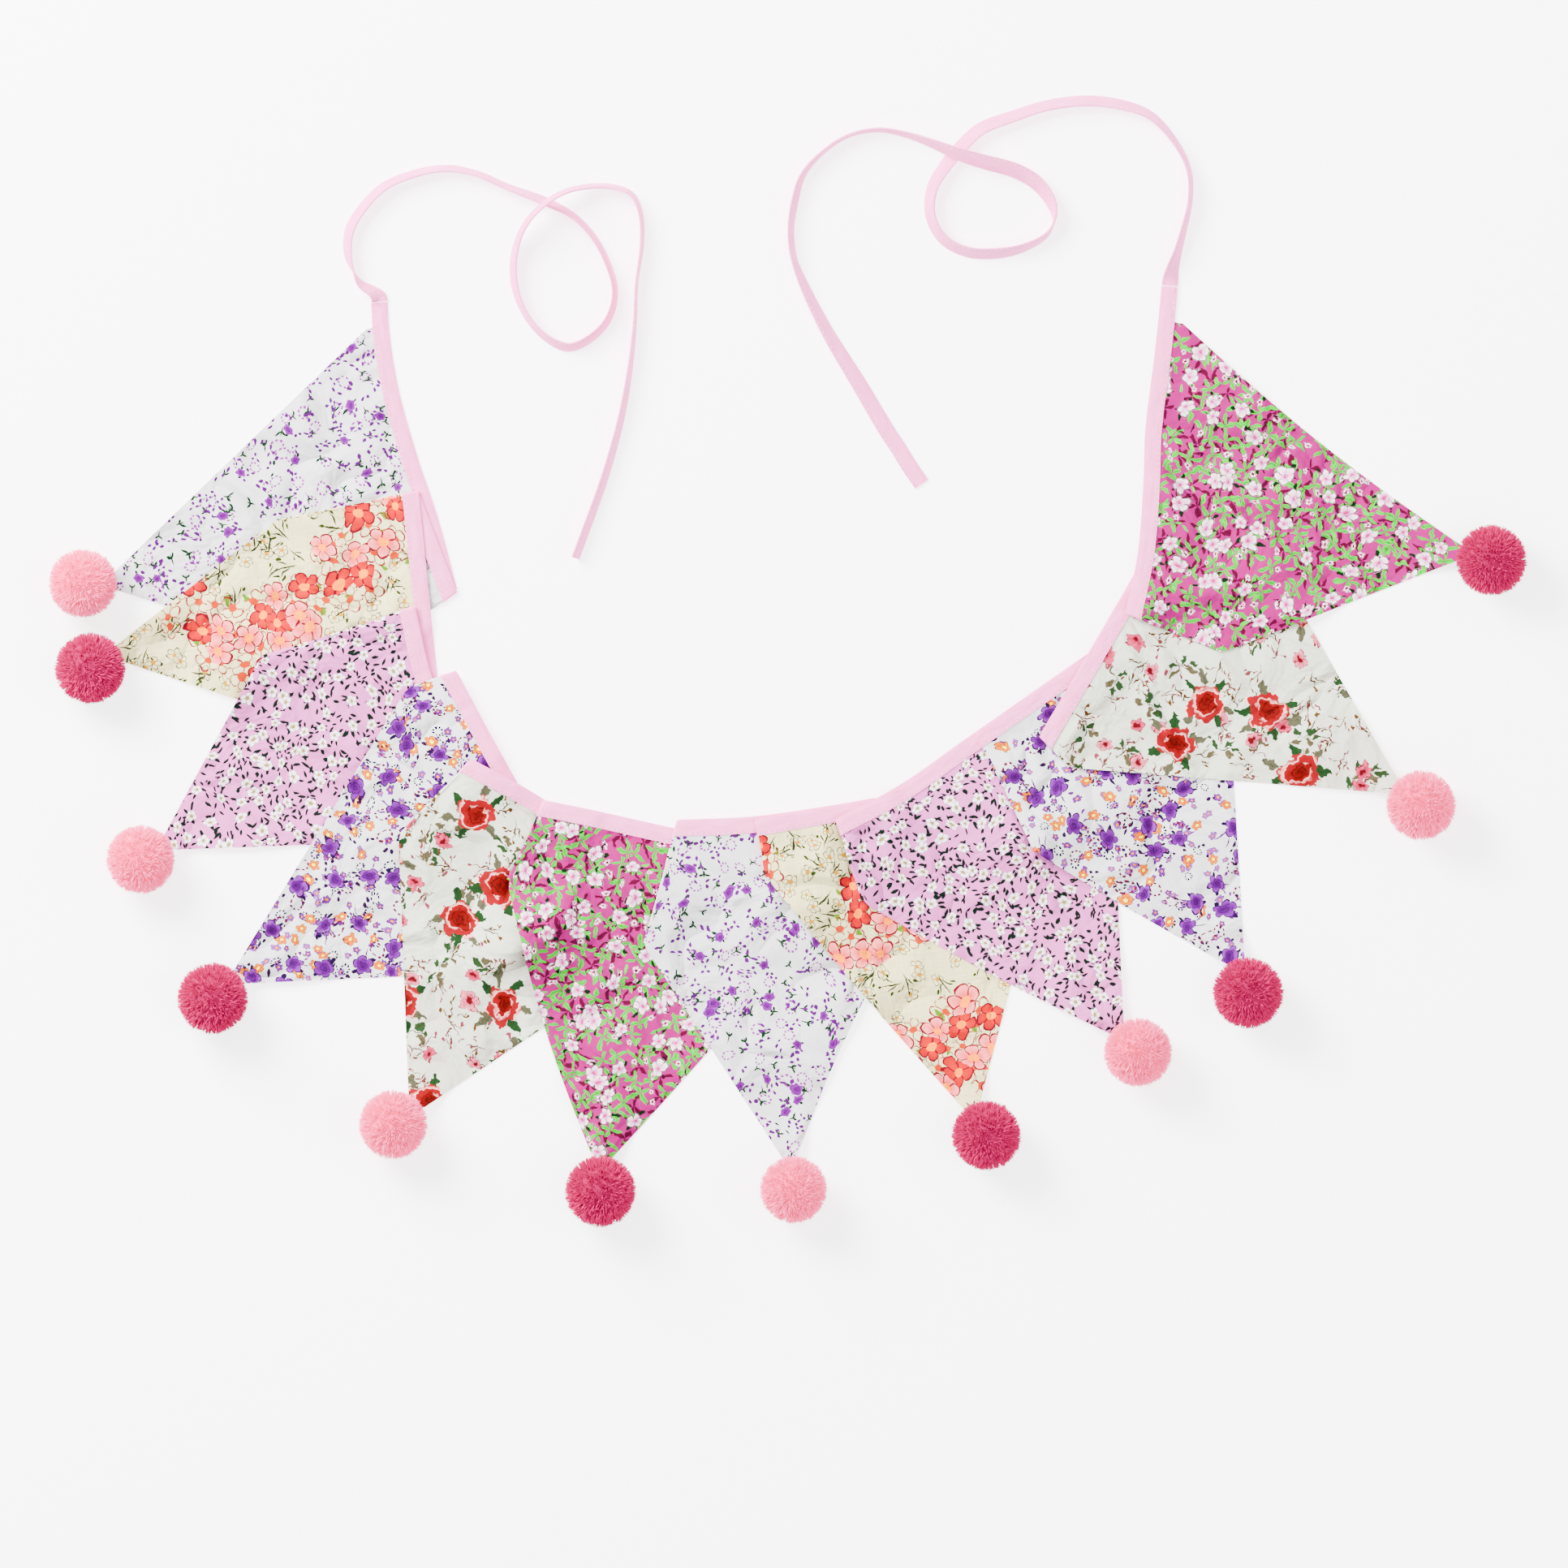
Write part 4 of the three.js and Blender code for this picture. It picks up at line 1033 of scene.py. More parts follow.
def group(name, inputs, outputs):
    tree = bpy.data.node_groups.new(name, "ShaderNodeTree")
    for words, way in ((inputs, "INPUT"), (outputs, "OUTPUT")):
        for word in words.split(","):
            kind, label = word.strip().split(" ", 1)
            tree.interface.new_socket(name=label, in_out=way, socket_type=KINDS[kind])
    given, out = tree.nodes.new("NodeGroupInput"), tree.nodes.new("NodeGroupOutput")
    return Wires(tree), given.outputs, out.inputs


print("kinds of socket:", list(KINDS))

# %% [markdown]
# ## From a seen colour to a dye
#
# A picked screen colour can't be used as a dye as it is: the film curve that shows the
# picture softens bright and strong colours. `hue` runs the wanted colour back through that
# curve, so that the dye looks as it should under the studio light. The three tables turn
# colours into the curve's own and back.

# %% A wanted colour as a dye
STUDIO_LIGHT = 3.95
DARKEST_DYE, LIGHTEST_DYE = 0.002, 0.95
WIDE = np.array([[0.6274, 0.3293, 0.0433], [0.0691, 0.9195, 0.0114], [0.0164, 0.0880, 0.8956]])
INSET = np.array([[0.8566, 0.0951, 0.0483], [0.1373, 0.7612, 0.1015], [0.1119, 0.0768, 0.8113]])
OUTSET = np.array([[1.1271, -0.1106, -0.0165], [-0.1413, 1.1578, -0.0165], [-0.1413, -0.1106, 1.2519]])
LOG_LOW, LOG_SPAN = -12.474, 16.5
CURVE = [15.5, -40.14, 31.96, -6.868, 0.4298, 0.1191, -0.00232]


def light_for(shown):
    """The light that the film curve turns into a shown linear colour."""
    x = np.linspace(0, 1, 400)
    v = np.clip(WIDE @ np.asarray(shown, float), 1e-5, 1) ** (1 / 2.2)
    v = np.interp(np.linalg.solve(OUTSET, v), np.polyval(CURVE, x), x)
    v = 2 ** (v * LOG_SPAN + LOG_LOW)
    return np.linalg.solve(WIDE, np.linalg.solve(INSET, v))


def hue(code):
    parts = np.array([int(code[i:i + 2], 16) / 255 for i in (0, 2, 4)])
    seen = np.where(parts < 0.04, parts / 12.92, ((parts + 0.055) / 1.055) ** 2.4)
    dye = light_for(seen) / STUDIO_LIGHT
    return (*[float(part) for part in np.clip(dye, DARKEST_DYE, LIGHTEST_DYE)], 1)


print("a pink dye:", [round(part, 3) for part in hue("E8357C")])

# %% [markdown]
# ## Motifs on an uneven grid
#
# Printed flowers repeat, but evenly spread copies look like tiles. `Scatter` gives every
# cell of an uneven grid its own centre, a turned local frame in millimetres and two random
# picks, from a Voronoi texture. The motif groups then draw one shape round that frame.

# %% Scatter
w, given, out = group("Scatter", "v Cloth, f Spacing, f Jitter, f Seed",
                      "v Local, v Centre, f Pick, f Second")
spacing = w.join(given["Spacing"], given["Spacing"], 1.0)
in_cells = w.vector("DIVIDE", given["Cloth"], spacing)
seeded = w.vector("ADD", in_cells, w.join(given["Seed"], given["Seed"]))
cells = w.tree.nodes.new("ShaderNodeTexVoronoi")
cells.voronoi_dimensions = "2D"
cells.inputs["Scale"].default_value = 1
w.feed(cells.inputs["Vector"], seeded)
w.feed(cells.inputs["Randomness"], given["Jitter"])
away = w.vector("SUBTRACT", seeded, cells.outputs["Position"])
local = w.put("ShaderNodeVectorMath", dict(operation="SCALE"), i0=away, i3=given["Spacing"])
picks = w.tree.nodes.new("ShaderNodeSeparateColor")
w.feed(picks.inputs[0], cells.outputs["Color"])
w.feed(out["Local"], w.spin(local, w.times(picks.outputs[0], 2 * math.pi)))
w.feed(out["Centre"], w.vector("SUBTRACT", given["Cloth"], local))
w.feed(out["Pick"], picks.outputs[1])
w.feed(out["Second"], picks.outputs[2])
SCATTER = w.tree
print(SCATTER.name, "nodes:", len(SCATTER.nodes))

# %% [markdown]
# ## Open flowers
#
# An open flower is drawn by how far its rim reaches in each direction: a cosine swings out
# at each petal and in between two. The outline runs along the rim and between the petals.
# `Share` grows from the heart to the rim and shades the petals.

# %% Petals
def polar(w, place):
    x, y, _ = w.split(place)
    return w.length(place), w.math("ARCTAN2", y, x)


w, given, out = group("Petals", "v Local, f Radius, f Count, f Line",
                      "f Fill, f Outline, f Heart, f Share")
far, turn = polar(w, given["Local"])
swing = w.math("ABSOLUTE", w.math("COSINE", w.times(turn, w.shared(given["Count"], 2.0))))
reach = w.plus(w.times(w.math("POWER", swing, 0.55), 0.42), 0.58)
rim = w.times(given["Radius"], reach)
gap = w.minus(far, rim)
inside = w.within(gap)
around = w.minus(w.math("ABSOLUTE", w.plus(gap, given["Line"])), given["Line"])
apart = w.minus(w.times(w.times(far, swing), 0.4), w.times(given["Line"], 0.7))
between = w.times(w.within(apart, 0.16), inside)
w.feed(out["Fill"], inside)
w.feed(out["Outline"], w.math("MAXIMUM", w.within(around, 0.16), between))
w.feed(out["Share"], w.shared(far, rim, clamp=True))
w.feed(out["Heart"], w.within(w.minus(far, w.times(given["Radius"], 0.29))))
PETALS = w.tree
print(PETALS.name, "nodes:", len(PETALS.nodes))

# %% [markdown]
# ## Roses
#
# A small printed rose is a round blot with darker strokes that wind into its heart. The
# stroke follows a spiral: the turn about the centre and the distance from it add up.

# %% Rose
w, given, out = group("Rose", "v Local, f Radius", "f Fill, f Swirl, f Inner")
far, turn = polar(w, given["Local"])
share = w.shared(far, given["Radius"])
wobble = w.times(w.math("SINE", w.times(turn, 5.0)), 0.11)
w.feed(out["Fill"], w.within(w.times(w.minus(w.plus(share, wobble), 0.93), given["Radius"])))
winding = w.plus(w.times(share, 2.1), w.shared(turn, 2 * math.pi))
winding = w.plus(winding, w.times(w.math("SINE", w.times(turn, 3.0)), 0.16))
phase = w.math("FRACT", w.plus(winding, 4.0))
w.feed(out["Swirl"], w.minus(1.0, w.times(phase, 3.0), clamp=True))
w.feed(out["Inner"], w.minus(1.0, share, clamp=True))
ROSE = w.tree
print(ROSE.name, "nodes:", len(ROSE.nodes))

# %% [markdown]
# ## Leaves and stems
#
# Leaves, buds, stems and twigs are all one shape: a strip that is widest in its middle. It
# lies at an angle and a distance from the centre of its spot, and a vein runs down it.

# %% Leaf
w, given, out = group("Leaf", "v Local, f Angle, f Away, f Length, f Width", "f Fill, f Vein")
aimed = w.spin(given["Local"], w.times(given["Angle"], -1.0))
x, y, _ = w.split(w.vector("SUBTRACT", aimed, w.join(given["Away"])))
along = w.shared(x, w.shared(given["Length"], 2.0))
off = w.math("ABSOLUTE", y)
belly = w.times(w.minus(1.0, w.times(along, along)), w.shared(given["Width"], 2.0))
inside = w.within(w.minus(off, belly))
w.feed(out["Fill"], inside)
w.feed(out["Vein"], w.times(w.within(w.minus(off, 0.16)), inside))
LEAF_SHAPE = w.tree
print(LEAF_SHAPE.name, "nodes:", len(LEAF_SHAPE.nodes))

# %% [markdown]
# ## Dotted rings
#
# Two of the prints have little rings of dots. A ring is a thin band at one distance from
# the centre, cut into dashes by a cosine.

# %% Ring
w, given, out = group("Ring", "v Local, f Radius, f Dashes, f Line", "f Line")
far, turn = polar(w, given["Local"])
edge = w.within(w.minus(w.math("ABSOLUTE", w.minus(far, given["Radius"])), given["Line"]))
dash = w.math("GREATER_THAN", w.math("COSINE", w.times(turn, given["Dashes"])), -0.35)
w.feed(out["Line"], w.times(edge, dash))
RING = w.tree
print(RING.name, "nodes:", len(RING.nodes))

# %% [markdown]
# ## Weave and creases
#
# Plain cotton shows a fine grain, a few thicker threads, called slubs, and the soft creases
# that pressing leaves. The grain is a product of two sines, the slubs are noise stretched
# along each thread, and a crease is the ridge of a bent noise. All read the cloth's own
# millimetres, so they run with the cloth round its folds.

# %% Cotton
w, given, out = group("Cotton", "v Cloth, f Slub", "f Shade, f Height, f Crease")
cloth = given["Cloth"]
x, y, _ = w.split(cloth)
grain = w.times(w.math("SINE", w.times(x, 8.2)), w.math("SINE", w.times(y, 7.6)))
warp_slubs = w.noise(w.vector("MULTIPLY", cloth, (0.05, 1.1, 0)), 1.0, 2.0)
weft_slubs = w.noise(w.vector("MULTIPLY", cloth, (1.2, 0.06, 0)), 1.0, 2.0)
slub = w.minus(w.plus(warp_slubs, weft_slubs), 1.0)
tint = w.plus(w.times(grain, 0.012), w.times(slub, given["Slub"]))
w.feed(out["Shade"], w.plus(0.985, tint))
w.feed(out["Height"], w.plus(w.times(grain, 0.5), w.times(slub, 0.8)))
pull = w.vector("MULTIPLY", w.noise(cloth, 0.018, 1.0, out=1), (46, 46, 0))
bent = w.vector("ADD", cloth, pull)
broad = w.noise(bent, 0.021, 1.5, roughness=0.45)
fine = w.noise(bent, 0.075, 2.0)
ridge = w.math("ABSOLUTE", w.minus(broad, 0.5))
w.feed(out["Crease"], w.plus(w.times(ridge, 2.2), w.times(fine, 0.3)))
COTTON = w.tree
print("node groups:", [tree.name for tree in bpy.data.node_groups])

# %% [markdown]
# ## Painting motifs
#
# A print is its ground colour with motifs laid over it, as a printer lays one screen after
# another. Each kind of motif has a small painter, which mixes its own colours over what is
# there already.

# %% Painting one motif
BLANK_LEAF = 4


def paint_petals(w, color, spot, shown, size, tones):
    line = max(0.17, size * 0.055)
    shape = w.use(PETALS, Local=spot["Local"], Radius=size, Count=5.0, Line=line)
    outer, inner, other, outline, heart = tones
    rim = w.over(outer, other, w.math("GREATER_THAN", spot["Pick"], 0.5))
    fill = w.over(inner, rim, w.math("POWER", shape["Share"], 1.2))
    color = w.over(color, fill, w.times(shape["Fill"], shown))
    color = w.over(color, outline, w.times(shape["Outline"], shown))
    return w.over(color, heart, w.times(shape["Heart"], shown))


def paint_sketch(w, color, spot, shown, size, tones):
    line = max(0.24, size * 0.055)
    shape = w.use(PETALS, Local=spot["Local"], Radius=size, Count=5.0, Line=line)
    color = w.over(color, tones[0], w.times(shape["Outline"], shown))
    return w.over(color, tones[1], w.times(shape["Heart"], shown))


def paint_rose(w, color, spot, shown, size, tones):
    shape = w.use(ROSE, Local=spot["Local"], Radius=size)
    petal = w.over(tones[0], tones[1], w.times(shape["Inner"], 1.3, clamp=True))
    petal = w.over(petal, tones[2], shape["Swirl"])
    return w.over(color, petal, w.times(shape["Fill"], shown))


def paint_ring(w, color, spot, shown, size, tones):
    shape = w.use(RING, Local=spot["Local"], Radius=size, Dashes=8.0, Line=0.52)
    return w.over(color, tones[0], w.times(shape["Line"], shown))


def paint_leaves(w, color, spot, shown, size, tones):
    for angle, away, length, width, tone in size:
        shape = w.use(LEAF_SHAPE, Local=spot["Local"], Angle=angle, Away=away, Length=length, Width=width)
        color = w.over(color, tones[tone], w.times(shape["Fill"], shown))
        if length > BLANK_LEAF:
            color = w.over(color, tones[-1], w.times(w.times(shape["Vein"], 0.7), shown))
    return color


PAINTERS = {"petals": paint_petals, "sketch": paint_sketch, "rose": paint_rose,
            "ring": paint_ring, "leaves": paint_leaves}
print("motifs:", list(PAINTERS))

# %% [markdown]
# ## Stamping
#
# Not every spot of the grid gets its motif, and some prints gather their flowers in
# clusters. `share` is the part of the spots that is used. `where` keeps a motif inside the
# clusters, 1, or outside them, -1, by a broad noise read at the spot's centre, so that no
# flower is cut in two.

# %% Stamping a motif on its spots
def stamp(w, cloth, color, zone, kind, spacing, seed, size, colors, share=1.0, where=0):
    spot = w.use(SCATTER, Cloth=cloth, Spacing=float(spacing), Jitter=0.8, Seed=float(seed))
    shown = w.math("LESS_THAN", spot["Second"], share)
    if where:
        level = w.noise(spot["Centre"], 1 / zone, 0.0)
        shown = w.times(shown, w.math("GREATER_THAN" if where > 0 else "LESS_THAN", level, 0.5))
    return PAINTERS[kind](w, color, spot, shown, size, [hue(code) for code in colors])


RECIPES = {}
print("a motif is stamped on spots of its own grid")

# %% [markdown]
# ## The print of violet buds
#
# White cotton with tiny purple ovals in twos and threes, dark green sprigs, small rosebuds
# and dotted lilac rings. A row gives a motif's kind, its spacing, a seed, its size and its
# colours, and then the share of spots. The leaf tables give the angle, the distance away,
# the length, the width and which colour.

# %% Violet buds
OVAL_PAIR = [(0.0, 1.9, 2.9, 1.9, 0), (2.2, 1.8, 2.6, 1.7, 0)]
OVAL_TRIO = [(0.0, 2.0, 2.7, 1.7, 0), (2.1, 1.9, 2.5, 1.6, 0), (4.2, 1.9, 2.4, 1.5, 0)]
SPRIG = [(0.0, 0.0, 5.0, 0.9, 0), (0.8, 1.7, 3.0, 1.2, 0), (-0.8, 1.7, 3.0, 1.2, 0)]
BUD_LEAVES = [(0.4, 3.4, 3.0, 1.3, 0), (3.4, 3.3, 2.8, 1.2, 0)]
RECIPES["violet_buds"] = dict(ground="E3E3E3", warp=0.7, slub=0.02, zone=40.0, layers=[
    ("ring", 12, 12, 2.7, ["CC7CCC"], 0.65),
    ("leaves", 10, 1, SPRIG, ["0E5024", "0E5024"], 0.6),
    ("leaves", 9, 5, OVAL_TRIO, ["9A48B0"], 0.45),
    ("leaves", 10, 9, OVAL_PAIR, ["8A2CA0"], 0.6),
    ("leaves", 17, 20, BUD_LEAVES, ["0E5024"], 0.7),
    ("rose", 17, 20, 2.9, ["C886D4", "A04CB4", "4E1070"], 0.6)])
print("violet_buds:", len(RECIPES["violet_buds"]["layers"]), "layers")

# %% [markdown]
# ## The print of coral flowers
#
# Cream cotton with visible slubs. Its outlined coral flowers crowd together in clusters,
# with thin olive twigs and small outlined blossoms in the spaces between.

# %% Coral flowers
TWIGLET = [(0.0, 3.0, 12.0, 1.0, 0), (0.6, 4.0, 6.0, 0.9, 0), (-0.8, 5.0, 6.0, 0.9, 0),
           (0.9, 6.6, 3.0, 1.4, 1), (-1.0, 7.4, 3.0, 1.4, 1), (0.0, 9.6, 3.2, 1.5, 1)]
CORAL_LEAVES = [(0.4, 9.5, 8.0, 3.0, 0), (3.4, 9.5, 7.0, 2.6, 0)]
RECIPES["coral_flowers"] = dict(ground="E6E2D2", warp=1.2, slub=0.06, zone=62.0, layers=[
    ("leaves", 21, 3, TWIGLET, ["3A4020", "586A24"], 0.95, -1),
    ("leaves", 14, 23, TWIGLET, ["3A4020", "586A24"], 0.4, -1),
    ("sketch", 10, 6, 3.9, ["363C1E", "E4BC10"], 0.6, -1),
    ("leaves", 17, 2, CORAL_LEAVES, ["A9BF5E", "5E7A38"], 1.0, 1),
    ("sketch", 11, 9, 7.2, ["D0185A", "F08A2A"], 1.0, 1),
    ("petals", 16, 2, 8.8, ["FAD2CE", "FF8A30", "EE4C60", "B80844", "FFC810"], 0.95, 1)])
print("coral_flowers:", len(RECIPES["coral_flowers"]["layers"]), "layers")

# %% [markdown]
# ## The print of lilac posies
#
# Lilac pink cotton, all over small white flowers with dark green dashes round them. The
# flowers share the dashes' grid, so that the dashes always sit beside them.

# %% Lilac posies
DASHES = [(0.3, 3.8, 3.9, 1.5, 0), (1.1, 4.1, 3.6, 1.4, 0),
          (2.9, 3.9, 3.9, 1.5, 0), (4.6, 4.0, 3.6, 1.4, 0)]
RECIPES["lilac_posies"] = dict(ground="E8BEDA", warp=0.9, slub=0.02, zone=40.0, layers=[
    ("leaves", 6.5, 8, [(0.0, 0.0, 4.0, 1.6, 0)], ["0C3420"], 0.7),
    ("leaves", 9.5, 4, DASHES, ["0C3020"], 0.95),
    ("leaves", 6.0, 27, [(0.0, 0.0, 3.8, 1.5, 0)], ["0C3420"], 0.45),
    ("petals", 9.5, 4, 3.1, ["F2EEEE", "E6E0E0", "F2EEEE", "C8A2BE", "C8B890"], 0.85)])
print("lilac_posies:", len(RECIPES["lilac_posies"]["layers"]), "layers")

# %% [markdown]
# ## The print of violet roses
#
# White cotton with purple roses on curled stems. Small yellow flowers, lilac florets and
# dashed rings fill the ground between them, each on a grid of its own.

# %% Violet roses
CURL = [(0.9, 7.0, 6.0, 0.9, 0), (1.5, 7.6, 5.0, 0.9, 0), (2.1, 8.0, 3.0, 1.7, 0)]
ROUND_LEAVES = [(0.2, 5.4, 3.8, 1.8, 0), (3.3, 5.4, 3.8, 1.8, 0)]
RECIPES["violet_roses"] = dict(ground="E3E3E3", warp=1.3, slub=0.02, zone=40.0, layers=[
    ("leaves", 21, 28, CURL, ["9C5CB4"], 0.95),
    ("leaves", 9.5, 33, OVAL_PAIR, ["4A1464"], 0.5),
    ("petals", 8.5, 11, 2.1, ["BE86D6", "9444AC", "D8B0E6", "702C90", "F0C040"], 0.75),
    ("ring", 12, 15, 2.2, ["20245E"], 0.6),
    ("petals", 13, 19, 3.1, ["F4B428", "EC9400", "F4BC30", "B86400", "FFEAB0"], 0.55),
    ("ring", 16, 24, 3.4, ["A0106A"], 0.5),
    ("leaves", 21, 28, ROUND_LEAVES, ["34185E"], 0.95),
    ("petals", 21, 28, 5.4, ["C48CD8", "8A44AC", "B478CC", "480C68", "480C68"], 0.95),
    ("rose", 21, 28, 3.2, ["A45CC0", "7C309C", "300444"], 0.95)])
print("violet_roses:", len(RECIPES["violet_roses"]["layers"]), "layers")

# %% [markdown]
# ## The print of red roses
#
# Ivory cotton with large red roses far apart, each with green and taupe leaves, and fine
# brown twigs and small pink blooms in the open ground.

# %% Red roses
ROSE_LEAVES = [(0.3, 12.0, 11.0, 5.0, 0), (1.0, 13.5, 10.0, 4.4, 1), (2.2, 12.5, 10.0, 5.0, 0),
               (3.1, 15.5, 11.0, 4.6, 1), (3.7, 12.5, 10.0, 4.6, 0), (5.1, 12.5, 11.0, 4.6, 1)]
SPRAY = [(0.0, 3.0, 9.0, 0.7, 2), (0.5, 5.6, 6.5, 3.0, 0), (-0.5, 5.8, 6.5, 3.0, 1),
         (0.0, 9.0, 6.0, 2.8, 0), (2.4, 4.0, 6.0, 2.6, 0), (3.7, 4.4, 6.0, 2.6, 1)]
RECIPES["red_roses"] = dict(ground="E1E1DC", warp=4.2, slub=0.025, zone=70.0, layers=[
    ("leaves", 22, 4, TWIGLET, ["6E3A1C", "96683A"], 1.0),
    ("leaves", 17, 16, TWIGLET, ["8A5A3C", "C0707A"], 0.7),
    ("leaves", 29, 9, SPRAY, ["4F7546", "94886C", "5A442C"], 0.85),
    ("petals", 25, 21, 4.6, ["F0A6B4", "D83E5C", "F0C6CC", "C05262", "A01430"], 0.6),
    ("leaves", 50, 13, ROSE_LEAVES, ["3F6A38", "8C8870", "28482A"], 1.0),
    ("rose", 50, 13, 11.0, ["DC3C54", "C00A30", "F6DCD8"], 1.0),
    ("rose", 50, 13, 6.0, ["C8142C", "A00820", "540410"], 1.0)])
print("red_roses:", len(RECIPES["red_roses"]["layers"]), "layers")

# %% [markdown]
# ## The print of lime roses
#
# Magenta cotton almost covered by lime leaves. White flowers with maroon strokes stand out
# against darker strokes laid under them.

# %% Lime roses
LIME_SPRAY = [(0.2, 3.6, 7.5, 2.3, 0), (1.7, 3.2, 6.0, 2.0, 0),
              (3.1, 3.7, 7.5, 2.3, 0), (4.6, 3.0, 5.6, 1.9, 0)]
DARK_STROKES = [(0.9, 4.4, 4.4, 1.1, 0), (2.4, 4.2, 4.0, 1.1, 0), (5.3, 4.4, 4.2, 1.1, 0)]
RECIPES["lime_roses"] = dict(ground="E03AAE", warp=2.2, slub=0.015, zone=40.0, layers=[
    ("leaves", 12, 10, LIME_SPRAY, ["9A1458", "6E0A3C"], 0.8),
    ("leaves", 10.5, 3, LIME_SPRAY, ["92DC00", "2E6A08"], 0.9),
    ("leaves", 9, 7, [(0.0, 0.0, 5.5, 2.0, 0)], ["A0E400", "2E6A08"], 0.6),
    ("petals", 8, 14, 1.9, ["FFFFFF", "F8C6DE", "FFFFFF", "B83A78", "7A1044"], 0.45),
    ("leaves", 16, 18, DARK_STROKES, ["5E0A34"], 0.9),
    ("leaves", 16, 18, ROUND_LEAVES, ["123E18"], 0.7),
    ("petals", 16, 18, 4.7, ["FFFFFF", "F4A8CC", "FFF2F8", "8A1048", "FBE2EC"], 0.85),
    ("rose", 16, 18, 2.0, ["FBE2EC", "F084B4", "60042C"], 0.85)])
print("lime_roses:", len(RECIPES["lime_roses"]["layers"]), "layers")

# %% [markdown]
# ## Printed cotton
#
# A screen print is drawn by hand, so the motifs are first bent by two noises, one broad and
# one fine. The back of the cloth shows the print only weakly. Creases and weave are bumps,
# not moved points, because they are finer than the sheet's own steps.

# %% The six cottons
BROAD_BEND = (0.05, 8.0)
FINE_BEND_SCALE = 0.3
BACK_FADE = 0.6


def drawn_by_hand(w, cloth, fine_bend):
    hand = cloth
    for scale, strength in (BROAD_BEND, (FINE_BEND_SCALE, fine_bend)):
        bend = w.noise(cloth, scale, 1.0, out=1)
        bend = w.vector("SUBTRACT", bend, (0.5, 0.5, 0.5))
        hand = w.vector("ADD", hand, w.vector("MULTIPLY", bend, (strength, strength, 0)))
    return hand


def cotton_print(name, recipe):
    material = bpy.data.materials.new("cotton_" + name)
    material.use_nodes = True
    w = Wires(material.node_tree)
    surface = material.node_tree.nodes["Principled BSDF"]
    cloth = w.put("ShaderNodeUVMap", dict(uv_map="Cloth"))
    hand = drawn_by_hand(w, cloth, recipe["warp"])
    ground = hue(recipe["ground"])
    color = ground
    for layer in recipe["layers"]:
        color = stamp(w, hand, color, recipe["zone"], *layer)
    cotton = w.use(COTTON, Cloth=cloth, Slub=recipe["slub"] * 6)
    back = w.put("ShaderNodeAttribute", dict(attribute_name="reverse"), out="Fac")
    color = w.over(color, ground, w.times(back, BACK_FADE))
    shade = cotton["Shade"]
    w.feed(surface.inputs["Base Color"], w.vector("MULTIPLY", color, w.join(shade, shade, shade)))
    surface.inputs["Roughness"].default_value = 0.88
    surface.inputs["Specular IOR Level"].default_value = 0.02
    crease = w.put("ShaderNodeBump", Strength=0.9, Distance=0.009, Height=cotton["Crease"])
    weave = w.put("ShaderNodeBump", Strength=0.35, Distance=0.00018, Height=cotton["Height"], Normal=crease)
    w.feed(surface.inputs["Normal"], weave)
    return material


prints = {name: cotton_print(name, recipe) for name, recipe in RECIPES.items()}
print("prints:", list(prints))

# %% [markdown]
# ## Pale pink tape
#
# The bias tape is a fine twill with a slight sheen. It puckers a little along its length
# where it is sewn round the curve, and a darker line of painted shade runs along the sewn
# line, where the stitches pull it in.

# %% The tape's material
SEAM_AT = TAPE_WIDTH - SEAM_INSET


def plain(name, color, roughness, specular, sheen=0.05):
    material = bpy.data.materials.new(name)
    material.use_nodes = True
    surface = material.node_tree.nodes["Principled BSDF"]
    surface.inputs["Roughness"].default_value = roughness
    surface.inputs["Specular IOR Level"].default_value = specular
    surface.inputs["Sheen Weight"].default_value = sheen
    surface.inputs["Base Color"].default_value = color
    return material, Wires(material.node_tree), surface


tape_material, w, surface = plain("tape", hue("F6CFE0"), 0.7, 0.3)
cloth = w.put("ShaderNodeUVMap", dict(uv_map="Cloth"))
x, y, _ = w.split(cloth)
twill = w.math("SINE", w.plus(w.times(x, 6.0), w.times(y, 6.0)))
waves = w.noise(w.vector("MULTIPLY", cloth, (0.09, 0.25, 0)), 1.0, 2.0)
# painted shade: a darker line where the stitches pull the tape in
seam_shade = w.within(w.minus(w.math("ABSOLUTE", w.minus(y, SEAM_AT)), 0.25), 0.5)
color = w.over(hue("F7D2E2"), hue("EFBCD3"), w.times(waves, 0.6))
w.feed(surface.inputs["Base Color"], w.over(color, hue("E3A9C3"), w.times(seam_shade, 0.5)))
pucker = w.put("ShaderNodeBump", Strength=0.6, Distance=0.0012, Height=waves)
fine = w.put("ShaderNodeBump", Strength=0.3, Distance=0.00012, Height=twill, Normal=pucker)
w.feed(surface.inputs["Normal"], fine)
print("tape colour:", [round(part, 2) for part in hue("F7D2E2")])

# %% [markdown]
# ## Sewing thread
#
# The sewing thread is a shade paler than the tape. Its twist is too fine to model, so a
# small noise varies the colour along it.

# %% The thread's material
thread, w, surface = plain("thread", hue("FBE6EF"), 0.5, 0.4)
twist = w.noise(w.put("ShaderNodeTexCoord", out="Object"), 900.0, 1.0, dimensions="3D")
w.feed(surface.inputs["Base Color"], w.over(hue("FDF0F5"), hue("EFC9DA"), twist))
print("thread is matt:", surface.inputs["Roughness"].default_value)
